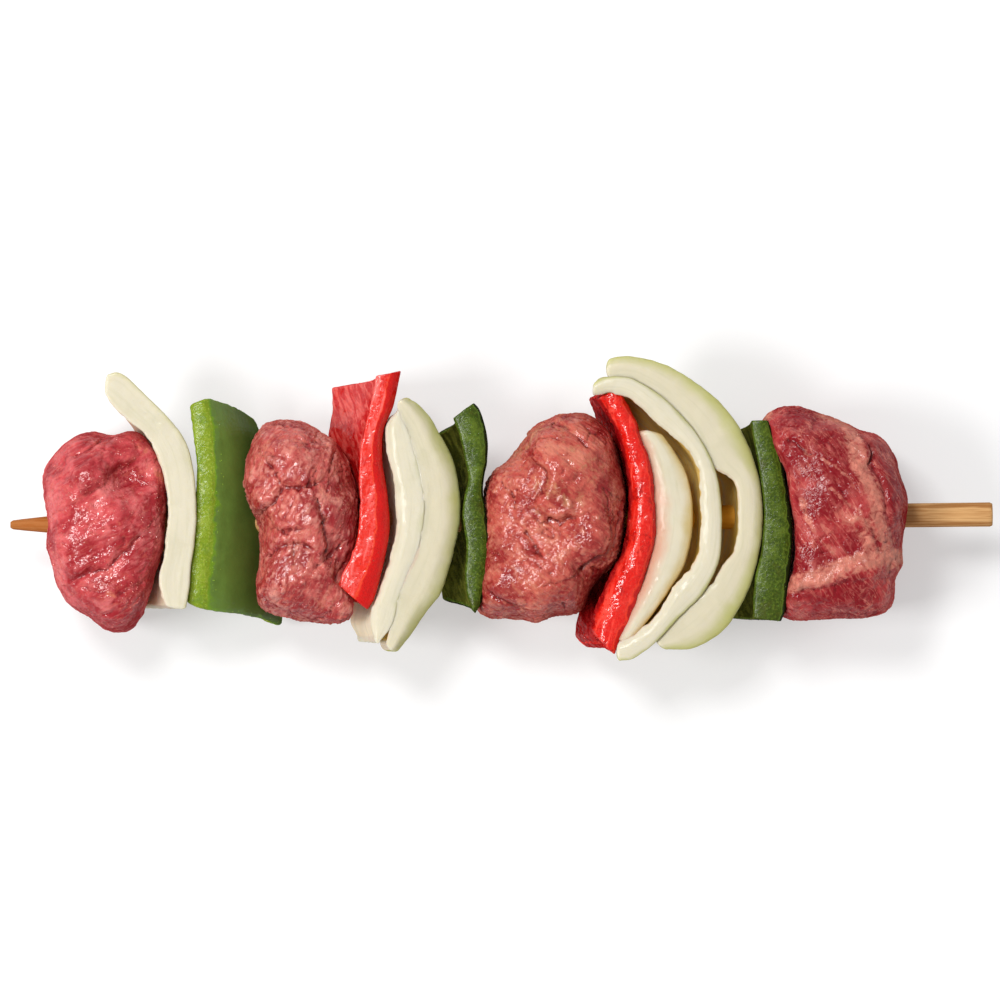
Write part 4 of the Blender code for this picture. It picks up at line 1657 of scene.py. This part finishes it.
BEEF = (
    BeefPiece(
        node="beef_1", slot="beef_pink_red", finish=BEEF_PINK, seed=11,
        grain=25, grain_depth=0.14, crumb=0.15, crumb_size=3.0, crease=0.25,
        outline=(
            (-106, 24.5), (-100, 23), (-93.5, 24), (-89, 20), (-86.5, 13), (-86, 3), (-87, -6),
            (-89, -14), (-92, -22), (-96, -27.5), (-101, -28.5), (-107, -24.5), (-113, -19.5),
            (-116, -12), (-118, -6), (-117.5, 2), (-118.5, 12), (-116, 18), (-111, 23),
        ),
        folds=(
            Fold(((-100, 25), (-102, 22.5), (-105.5, 19.5), (-110, 16.5)), 1.0, 0.6),
            Fold(
                ((-96.5, 22.5), (-100.5, 20), (-104, 17), (-107, 15), (-111.5, 11.5), (-116, 9)),
                0.3, 0.4,
            ),
            Fold(
                (
                    (-108, 6.5), (-104.5, 8.5), (-101.5, 10.5), (-100.5, 13), (-97.5, 15),
                    (-92.5, 16),
                ),
                0.8, 1.2, 0.8, 9,
            ),
            Fold(
                (
                    (-91, -1.5), (-95, -5.5), (-98.5, -8.5), (-101.5, -11), (-105, -12),
                    (-112, -15.5),
                ),
                1.0, -0.9, 0.7, 7,
            ),
            Fold(((-96, -3), (-97.5, -6), (-99.5, -8)), 0.7, 0.3),
            Fold(((-110, -15.5), (-104, -17.5), (-96, -17.5), (-89, -13)), 0.5, -0.3),
        ),
        swells=(
            Swell((-106.5, 12.5), 3.6, 1.5), Swell((-95.5, 11.5), 5.0, -1.8),
            Swell((-99, 1.5), 4.5, 1.5), Swell((-111, -2), 5.0, 0.8), Swell((-90, 3), 4.5, -0.8),
            Swell((-105, 4), 3.0, -0.8), Swell((-94, 19), 3.5, 0.6),
        ),
        streaks=(
            Streak(((-93.5, 20), (-91.5, 18.5)), 0.8, 0.5),
            Streak(((-88.5, 14), (-87, 11)), 0.8, 0.7),
            Streak(((-102, -18), (-98, -18.5)), 0.8, 0.4),
        ),
        dark=(
            Swell((-96, 12), 4), Swell((-88, 2), 5), Swell((-100, -22), 8), Swell((-94, -6), 5),
            Swell((-108, -8), 4),
        ),
        calm=(Swell((-110, 18), 7), Swell((-95, 20), 5), Swell((-113, 8), 5)),
    ),
    BeefPiece(
        node="beef_2", slot="beef_brown_pink", finish=BEEF_BROWN, seed=22,
        grain=70, grain_depth=0.2, crumb=0.5, crumb_size=2.4, crease=0.6,
        outline=(
            (-59, 27), (-52, 26.5), (-45, 22.5), (-41.5, 20), (-37, 9), (-36.5, -2.5), (-38.5, -11),
            (-38.5, -20.5), (-39, -26), (-46.5, -27), (-56.5, -25), (-62, -23), (-63.5, -19),
            (-62.5, -9), (-63, 0), (-65.5, 5.5), (-66.5, 11), (-65.5, 17.5), (-63, 24),
        ),
        folds=(
            Fold(((-60.5, 16.5), (-59, 14), (-57.5, 11.5), (-56, 8.5)), 1.0, 0.6),
            Fold(
                (
                    (-44, 11.5), (-47.5, 10), (-52, 9), (-56, 8.5), (-58.5, 5.5), (-62, 2.5),
                    (-64.5, 0),
                ),
                1.3, -0.8, 0.7, 5,
            ),
            Fold(
                ((-47.5, 8), (-46.5, 3), (-45.5, -2), (-44.5, -7), (-46.5, -10)), 1.3, -1.2, 0.7, 5
            ),
            Fold(((-38, -5), (-41.5, -8), (-44.5, -10), (-48, -12.5)), 1.2, 0.7),
            Fold(((-41.5, 21), (-43, 16), (-44, 11.5)), 0.8, -0.6),
            Fold(((-64.5, -18.5), (-60.5, -20.5), (-56, -22.5), (-52, -24)), 1.2, 0.9),
            Fold(((-62, -9.5), (-57, -6.5), (-52, -5.5), (-47.5, -8)), 0.8, 0.5),
            Fold(((-60, -1), (-55, -2.5), (-50, -1)), 0.7, 0.4),
        ),
        swells=(
            Swell((-52, 18), 6, 1.2), Swell((-62, 9), 4, 1.0), Swell((-54, 1), 5, 1.0),
            Swell((-54, -15), 7, 1.2), Swell((-43, 2), 3.5, 0.9), Swell((-39.5, -14), 4.5, -3.5),
            Swell((-38, 10), 3.0, -1.5),
        ),
        streaks=(
            Streak(((-60, 20), (-62, 15)), 1.0, 0.35), Streak(((-58.5, 4.5), (-59, 0)), 1.0, 0.5)
        ),
        dark=(
            Swell((-42, 3), 4), Swell((-60, -20), 4), Swell((-64, 2), 4), Swell((-50, -25), 5),
            Swell((-52, -9), 3),
        ),
        calm=(Swell((-43, 2), 4), Swell((-48, -22), 5)),
    ),
    BeefPiece(
        node="beef_3", slot="beef_brown_pink", finish=BEEF_RUSSET, seed=33,
        grain=-38, grain_depth=0.18, crumb=0.45, crumb_size=2.2, crease=0.6,
        outline=(
            (-4.5, 6), (-3, 11.5), (1.5, 15), (5, 19), (8, 23.5), (12.5, 26.5), (20.5, 28),
            (26, 26), (30, 20), (32.5, 9), (32.5, -1), (30, -11), (25, -15.5), (21.5, -20),
            (20, -24.5), (12.5, -25.5), (8.5, -27.5), (3, -26), (-6, -24.5), (-5.5, -17), (-5, -4),
        ),
        folds=(
            Fold(((12, 26), (14.5, 24.8), (17, 23), (20, 21), (23.5, 18)), 0.8, 0.5),
            Fold(((7, 15.5), (10.5, 14), (11.8, 11), (10.5, 7.5), (7.5, 4)), 0.9, 1.3, 0.7, 5),
            Fold(((11, 1.2), (13, 0), (15, -0.6), (17, 0.5), (19.5, 1)), 1.5, 1.0, 0.7, 4),
            Fold(((27, 0), (28, -5), (26, -9), (23, -11), (19, -14)), 1.1, -0.9, 0.7, 4),
            Fold(((5.5, -2.5), (8.5, -6.5), (10.5, -10)), 0.9, 0.4),
            Fold(((25.5, -9), (23, -10.5), (19.5, -15)), 0.8, 0.4),
            Fold(((-5, -17), (-1, -20.5), (4, -22.5), (9, -24.5)), 1.0, 0.6),
            Fold(((0, 10), (3, 6), (3.5, 2)), 0.7, 0.4),
        ),
        swells=(
            Swell((18, 13), 9, 1.2), Swell((3, 9), 5, 0.8), Swell((24, -6), 4, 1.1),
            Swell((14, -17), 6, 0.9), Swell((3.5, 7), 1.5, -1.2), Swell((6, -9), 5, 0.6),
        ),
        streaks=(
            Streak(((4, 17), (7, 21), (10, 22.5)), 2.4, 0.5),
            Streak(((10, 9), (15, 7), (19, 5)), 3.0, 0.45), Streak(((9, 3), (10, -1)), 1.2, 0.45),
            Streak(((12, 24), (18, 20), (23, 14)), 4.5, 0.3),
        ),
        dark=(
            Swell((0, -22), 6), Swell((30, 8), 5), Swell((18, -22), 5), Swell((-3, -9), 4),
            Swell((27, -12), 4),
        ),
        calm=(
            Swell((19, 17), 12), Swell((27, 8), 7), Swell((7, 12), 4), Swell((16, -18), 8),
            Swell((26, -4), 4),
        ),
    ),
    BeefPiece(
        node="beef_4", slot="beef_marbled", finish=BEEF_MARBLED, seed=44,
        grain=-58, grain_depth=0.12, crumb=0.22, crumb_size=1.8, crease=0.35,
        outline=(
            (67.5, 24.5), (69.5, 28), (76, 29), (81, 27.5), (86.5, 25.5), (92, 23), (98, 21.5),
            (101.5, 16.5), (103.5, 10), (105.5, 4), (105, -2), (103.5, -8), (103.5, -13),
            (101.5, -18), (101, -23), (97, -26.5), (86, -27), (72, -26.5), (73.5, -20), (75, -11),
            (75, -2), (73.5, 6), (72, 14.5),
        ),
        folds=(
            Fold(((92.5, 21), (94.5, 18), (95.5, 15.5), (94, 13)), 1.4, -0.6, 0.7, 4),
            Fold(((73, 20.8), (77.5, 17.5), (81, 16)), 0.7, 0.5),
            Fold(((73, -19), (80, -18.5), (89, -16.5), (101, -15.5)), 0.4, 0.7, 0.8, 6),
            Fold(((72, -8), (73.5, -14), (72, -20)), 1.2, 0.0),
            Fold(((104, -10), (100, -12.5), (102, -18)), 0.7, 0.3),
            Fold(((95.5, 15), (97, 9), (98.5, 3), (100, -3)), 0.6, 0.4),
        ),
        swells=(
            Swell((86, 20), 7, 0.8), Swell((98, 8), 5, 0.8), Swell((80, 4), 7, 0.6),
            Swell((86, -21), 8, 0.6), Swell((93, 16.5), 2.2, 0.9), Swell((92.5, -1.5), 3.0, 0.6),
        ),
        streaks=(
            Streak(((84, 26), (88.5, 22.5), (90.5, 18.5), (91.5, 15), (93, 11.5)), 2.4, 0.8, 0.15),
            Streak(
                ((93, 11.5), (94.5, 6.5), (96, 2), (97.5, -3), (99, -7.5), (100.5, -12)), 2.2, 0.85,
                0.15,
            ),
            Streak(
                (
                    (74, -17.5), (80.5, -15.5), (85.5, -13.5), (90.5, -12.2), (96.5, -11),
                    (102.5, -10.5),
                ),
                2.5, 0.9, 0.1,
            ),
            Streak(((90.5, -1), (92.5, -4), (95, -9), (97, -12)), 2.4, 0.6, 0.1),
            Streak(((78, 17), (84, 13.5), (90.5, 9.5)), 0.5, 0.6),
            Streak(((84.5, 7), (88, 3.5), (92, 1)), 0.6, 0.7),
            Streak(((77.5, 4.5), (79, -1), (81, -5), (85, -9)), 0.9, 0.55),
            Streak(((68, 24), (69.5, 27)), 1.0, 0.9, 0.4), Streak(((90, -1), (94, -2)), 1.8, 0.7),
        ),
        dark=(
            Swell((99, 12), 8), Swell((102, 2), 6), Swell((84, 16), 8), Swell((81, 23), 6),
            Swell((93, -7), 4), Swell((76, -12), 5), Swell((84, 5), 4), Swell((90, -21), 6),
        ),
        calm=(Swell((99, 10), 7), Swell((84, 22), 6)),
    ),
)

WALLS = (
    Wall(
        "onion_1", "onion_flesh", ONION_PALE,
        inner=(
            (-101, 33), (-100, 31), (-98.5, 29), (-94.5, 25.5), (-91.5, 23), (-89, 19), (-87, 13),
            (-86, 7.5), (-85.5, 2.5), (-86, -2), (-87, -9), (-88, -13), (-88, -16.5),
            (-86.7, -20.8),
        ),
        outer=(
            (-100.4, 38.4), (-98.6, 38.9), (-97, 38.4), (-95, 37), (-90.5, 32.5), (-86, 28),
            (-81.8, 22.5), (-80, 18.5), (-79.1, 14.5), (-78.6, 10.5), (-78.4, 1), (-78.9, -5),
            (-79.7, -10), (-80.3, -16), (-81.2, -21.5),
        ),
        drop=(10, 33, 28), lean=(0, 9, 12), sheet=4.5, tip=0.3, ragged=(0.35, 0.1), seed=101,
    ),
    Wall(
        "green_pepper", "pepper_light_green", PEPPER_LIME,
        inner=(
            (-80.4, 29.5), (-79.6, 21.5), (-79, 16), (-79, 10.5), (-79.8, 1), (-80.8, -6),
            (-81.4, -13), (-82, -19.5),
        ),
        outer=(
            (-75, 31.5), (-73.6, 24.5), (-73, 13.5), (-73.5, 2.5), (-74, -5), (-75, -14.5),
            (-75.8, -21.5),
        ),
        height=(14, 15, 14), drop=(30, 33, 33), lean=(-12, -17, -19), slant=(7, 6, 5), sheet=5.5,
        falls=(0.6, 0.5), rim=1.2, hang=Hang.LIES_BACK, seed=102, grain_height=0.16,
    ),
    Wall(
        "red_pepper_1", "pepper_red", PEPPER_RED,
        inner=(
            (-32, 37), (-32.8, 32), (-35.5, 21), (-36.5, 13.5), (-36.3, 5.5), (-36.8, -3),
            (-39, -9.5), (-42.2, -16),
        ),
        outer=(
            (-25.5, 38.3), (-27.5, 29.5), (-30, 23.5), (-30.5, 15.5), (-29.5, 9), (-28.7, 0),
            (-29.2, -5.5), (-31, -13.5), (-33, -20), (-34.5, -22.5),
        ),
        drop=(28, 31, 28), lean=(14, 9, 8), slant=(3, 0, 0), sheet=4.5, falls=(0.0, 2.0), rim=0.35,
        seed=103, grain_height=0.1, ridge_height=0.15, ragged=(0.3, 0.05),
    ),
    Wall(
        "onion_2_inner", "onion_flesh", ONION_PALE,
        inner=(
            (-26.8, 28), (-28.5, 26), (-29.6, 23), (-29.3, 19), (-28.3, 14), (-27.4, 8.5),
            (-27, 2.5), (-27.5, -4), (-28.5, -9), (-30, -13.5), (-32, -19), (-33.5, -22.5),
            (-34, -26.5), (-33.2, -29.5),
        ),
        outer=(
            (-25.6, 28), (-24.4, 25), (-22.6, 20.5), (-20.6, 13), (-19.6, 5.5), (-20.1, -1.5),
            (-21.6, -8.5), (-23.1, -12), (-26.1, -19), (-28.2, -26.5), (-31.5, -30.8),
        ),
        drop=(10, 30, 24), lean=(0, 9, 5), sheet=5.5, falls=(1.2, 0.0), rim=0.3, tip=1.0,
        ragged=(0.4, 0.0), seed=104,
    ),
    Wall(
        "onion_2_outer", "onion_flesh", ONION_GREENISH,
        inner=(
            (-26.2, 28.4), (-25.2, 25.2), (-23.4, 20.5), (-21.4, 13), (-20.4, 5.5), (-20.9, -1.5),
            (-22.4, -8.5), (-23.9, -12), (-26.9, -19), (-28.8, -26.5), (-29.8, -30.5),
        ),
        outer=(
            (-23, 31.2), (-21, 30), (-18, 26.5), (-15.5, 22), (-12.6, 16.5), (-11.4, 12),
            (-10.6, 6.5), (-10.6, 0), (-12, -6.5), (-13.5, -12), (-16, -19), (-19.5, -23.5),
            (-23, -28.5), (-26.5, -33),
        ),
        height=(17, 17, 17), drop=(12, 34, 14), lean=(0, 11, 2), sheet=6.0, falls=(0.0, 2.6),
        rim=0.3, tip=0.8, ragged=(0.0, 0.1), seed=105,
    ),
    Wall(
        "dark_green_pepper_1", "pepper_dark_green", PEPPER_DARK,
        inner=(
            (-12, 26), (-10.6, 22), (-9.6, 17.5), (-8.7, 13), (-8.4, 10.5), (-9.4, 6.5), (-10, 2),
            (-9.5, -3), (-9, -7), (-9.5, -14), (-9, -19), (-8, -22.5),
        ),
        outer=(
            (-6.5, 30), (-5.3, 28.5), (-4, 24.5), (-3.2, 19.5), (-3.5, 15), (-4.2, 12), (-4.6, 8),
            (-4.2, 3), (-3.4, -3), (-3.6, -10), (-4.2, -15.5), (-5.5, -21.5), (-6.8, -23.8),
        ),
        height=(16, 16, 16), drop=(26, 30, 26), lean=(7, 8, 8), slant=(6, 0, -3), sheet=4.2,
        falls=(0.4, 1.4), rim=0.4, seed=106, grain_height=0.06,
    ),
    Wall(
        "red_pepper_2", "pepper_red", PEPPER_CRIMSON,
        inner=(
            (25, 30.5), (30, 21.5), (32.6, 9), (32.7, 0.5), (31, -8), (27.3, -15.5), (24, -23),
            (22.8, -28),
        ),
        outer=(
            (31, 32.5), (33, 29), (35, 24.5), (36, 21), (38.6, 13.5), (39.5, 3), (39.5, -4.5),
            (37.7, -12), (35, -20), (32.5, -27), (30, -31), (29, -34.5),
        ),
        height=(16, 16, 15), drop=(26, 31, 24), lean=(3, 8, 6), sheet=4.5, falls=(3.0, 1.0),
        rim=0.7, seed=107, grain_height=0.2, ridge_height=0.3, ragged=(0.3, 0.3),
    ),
    Wall(
        "onion_3_inner", "onion_flesh", ONION_BLUSHED,
        inner=(
            (35, 21.6), (37.2, 16), (38.4, 10), (39, 2), (38.8, -5.5), (37.2, -13.5), (34.4, -20),
            (32, -25), (29.6, -30.8),
        ),
        outer=(
            (42, 21), (44.8, 17), (47.6, 11.8), (49.2, 5), (49, -3.5), (47, -12), (43.4, -18),
            (38.8, -24.5), (33.4, -31.4),
        ),
        height=(15, 15, 15), drop=(10, 25, 12), lean=(0, 10, 0), sheet=5.0, falls=(1.6, 0.6),
        rim=0.6, tip=0.4, seed=108,
    ),
    Wall(
        "onion_3_middle", "onion_flesh", ONION_CREAM,
        inner=(
            (24.4, 31.8), (27.5, 32.2), (32, 31.4), (35, 29.5), (40, 24.5), (47, 18.5),
            (50.6, 12.5), (51.2, 3), (51.1, -4.5), (49.5, -11.5), (43.5, -18.5), (40, -24.5),
            (34, -29.7), (30.2, -31.6),
        ),
        outer=(
            (24.6, 35.2), (26.5, 36.2), (30, 36.6), (35, 35.6), (42.5, 30.4), (50, 22.2),
            (55, 12.6), (56.6, 2), (56, -10), (52, -18.8), (45, -26), (38.5, -32.6), (33.5, -36),
            (30.2, -36.6),
        ),
        height=(17, 18, 17), drop=(8, 33, 10), lean=(0, 13, 0), sheet=4.5, falls=(0.8, 0.3),
        rim=0.5, tip=0.4, ragged=(0.5, 0.1), seed=109, curl=2.5,
    ),
    Wall(
        "onion_3_outer", "onion_flesh", ONION_GREENISH,
        inner=(
            (28.6, 36.2), (32, 35.9), (36, 34.6), (42.2, 29.9), (49.2, 22.2), (54.6, 12.8), (60, 9),
            (60.6, 0.5), (60, -7.5), (56.5, -12.5), (54, -16.8), (50.8, -19.6), (44, -25.8),
            (39.8, -31),
        ),
        outer=(
            (28.8, 41.2), (31, 41.6), (35, 41.5), (43.5, 39), (54, 32), (60.5, 24.5), (65, 15),
            (67.2, 3), (66, -10), (62.5, -20.5), (57, -28.8), (49, -33.5), (42.5, -33.7),
        ),
        height=(16, 17, 16), drop=(9, 36, 10), lean=(0, 15, 0), sheet=5.5, falls=(0.3, 1.2),
        rim=0.5, tip=0.5, ragged=(0.4, 0.1), seed=110, curl=3.0,
    ),
    Wall(
        "dark_green_pepper_2", "pepper_dark_green", PEPPER_DARK,
        inner=(
            (64.5, 24.5), (65.4, 18), (66.6, 11), (67.5, 1), (66.8, -8.5), (65.2, -15),
            (64.6, -20.5), (64.4, -25.5),
        ),
        outer=(
            (69, 24.5), (70.4, 20.5), (72, 15), (73.2, 8), (74.5, 0.5), (74.8, -5), (74.4, -11.5),
            (73.5, -17.5), (73, -23), (71.8, -26.5),
        ),
        height=(16, 16, 16), drop=(26, 30, 28), lean=(5, 6, 8), slant=(3, 0, 0), sheet=4.6,
        falls=(0.4, 0.8), rim=0.4, seed=111, grain_height=0.06,
    ),
)

JUICE = {
    "beef_1": Beads(MEAT_JUICE, "beef_pink_red", "wet", 45.0, 0.35, 1),
    "beef_2": Beads(MEAT_JUICE, "beef_brown_pink", "wet", 30.0, 0.3, 2),
    "beef_3": Beads(MEAT_JUICE, "beef_brown_pink", "wet", 22.0, 0.3, 3),
    "beef_4": Beads(MEAT_JUICE, "beef_marbled", "wet", 14.0, 0.28, 4),
    "green_pepper": Beads(LIME_JUICE, "pepper_light_green", "cut", 30.0, 0.2, 5),
    "red_pepper_1": Beads(RED_JUICE, "pepper_red", "cut", 12.0, 0.3, 6),
    "red_pepper_2": Beads(RED_JUICE, "pepper_red", "cut", 12.0, 0.35, 7),
    "dark_green_pepper_1": Beads(GREEN_JUICE, "pepper_dark_green", "cut", 60.0, 0.2, 8),
    "dark_green_pepper_2": Beads(GREEN_JUICE, "pepper_dark_green", "cut", 40.0, 0.2, 9),
}


# ---------------------------------------------------------------- stage


@dataclass(frozen=True)
class Lamp:
    """A square lamp that faces the kebab.

    Attributes:
        name: Its name.
        place: Where it hangs, in metres.
        size: Its side, in metres.
        power: Its power, in watts.
    """

    name: str
    place: tuple[float, float, float]
    size: float
    power: float

    def build(self) -> None:
        """Hang the lamp."""
        lamp = bpy.data.lights.new(self.name, "AREA")
        lamp.size = self.size
        lamp.energy = self.power
        obj = bpy.data.objects.new(self.name, lamp)
        obj.location = self.place
        obj.rotation_euler = (-Vector(self.place)).to_track_quat("-Z", "Y").to_euler()
        bpy.context.scene.collection.objects.link(obj)


@dataclass(frozen=True)
class Studio:
    """White table with a faint glow, soft light from the left, a camera straight above.

    Attributes:
        centre: Middle of the view from the skewer's axis, in millimetres.
        width: Width of the view at the skewer, in millimetres.
        distance: From the skewer up to the camera, in metres.
        turn: How far the camera is turned clockwise, in degrees.
        sensor: Width of the camera's sensor, in millimetres.
        sky: Strength of the light from all round.
        table: Half the table's width, in metres.
        table_grey: How much of the light the table throws back, from 0 to 1.
        table_glow: How strongly the table glows.
        lamps: The lamps.
    """

    centre: Point = (-0.3, 5.1)
    width: float = 258.7
    distance: float = 2.5
    turn: float = 0.607
    sensor: float = 36.0
    sky: float = 0.45
    table: float = 2.0
    table_grey: float = 0.5
    table_glow: float = 0.415
    lamps: Sequence[Lamp] = (
        Lamp("key", (-0.30, 0.44, 1.30), 0.3, 10.8),
        Lamp("side", (-0.80, -0.12, 1.25), 0.40, 12.2),
    )

    def build(self, stick: StickFrame) -> None:
        """Make the table, the lights and the camera.

        Args:
            stick: Where the skewer's axis runs.
        """
        self._table()
        world = bpy.data.worlds.new("studio")
        world.use_nodes = True
        world.node_tree.nodes["Background"].inputs["Color"].default_value = (1.0, 1.0, 1.0, 1.0)
        world.node_tree.nodes["Background"].inputs["Strength"].default_value = self.sky
        bpy.context.scene.world = world
        bpy.context.scene.view_settings.view_transform = "Standard"
        for lamp in self.lamps:
            lamp.build()
        self._camera(stick)

    def _table(self) -> None:
        """A large white sheet that takes the shadow."""
        half = self.table
        corners = np.array([(-half, -half, 0), (half, -half, 0), (half, half, 0), (-half, half, 0)])
        table = add_mesh("white_table", corners, [(0, 1, 2, 3)])
        white = bpy.data.materials.new("white_board")
        white.use_nodes = True
        shader = white.node_tree.nodes["Principled BSDF"]
        shader.inputs["Base Color"].default_value = (*[self.table_grey] * 3, 1.0)
        shader.inputs["Roughness"].default_value = 0.9
        shader.inputs["Specular IOR Level"].default_value = 0.0
        shader.inputs["Emission Color"].default_value = (1.0, 1.0, 1.0, 1.0)
        shader.inputs["Emission Strength"].default_value = self.table_glow
        table.data.materials.append(white)

    def _camera(self, stick: StickFrame) -> None:
        """A long lens that looks straight down.

        Args:
            stick: Where the skewer's axis runs.
        """
        data = bpy.data.cameras.new("overhead")
        data.sensor_width = self.sensor
        data.lens = self.sensor * self.distance / (self.width * MM)
        data.clip_end = 2 * self.distance
        camera = bpy.data.objects.new("overhead", data)
        camera.location = (
            self.centre[0] * MM, stick.y + self.centre[1] * MM, stick.z + self.distance
        )
        camera.rotation_euler = (0.0, 0.0, -math.radians(self.turn))
        bpy.context.scene.collection.objects.link(camera)
        bpy.context.scene.camera = camera


def hand_over(piece: bpy.types.Object, slot: str, *nodes: str) -> None:
    """Fix a finished piece to the frame.

    Args:
        piece: The piece.
        slot: The record's material slot; not used.
        *nodes: The CAD nodes that it stands for.
    """
    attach(piece, "root")
    if nodes:
        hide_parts(*nodes)
    LOG.info(
        "%s: %d vertices, %d faces", piece.name, len(piece.data.vertices), len(piece.data.polygons)
    )


def main() -> None:
    """Build every piece round the frame."""
    logging.basicConfig(level=logging.INFO, format="%(name)s: %(message)s")
    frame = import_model()
    stick = StickFrame.of_node("skewer")
    Studio().build(stick)
    pieces = [(beef.build(frame["nodes"], stick), beef) for beef in BEEF]
    pieces += [(wall.build(stick), wall) for wall in WALLS]
    for piece, maker in pieces:
        hand_over(piece, maker.slot, maker.node)
        if maker.node in JUICE:
            beads = JUICE[maker.node]
            hand_over(beads.scatter(piece), beads.slot)
    low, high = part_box("skewer")
    skewer = Skewer(BAMBOO, diameter=(high.y - low.y) / MM, length=(high.x - low.x) / MM)
    hand_over(skewer.build(stick), "bamboo", "skewer")


if __name__ == "__main__":
    main()
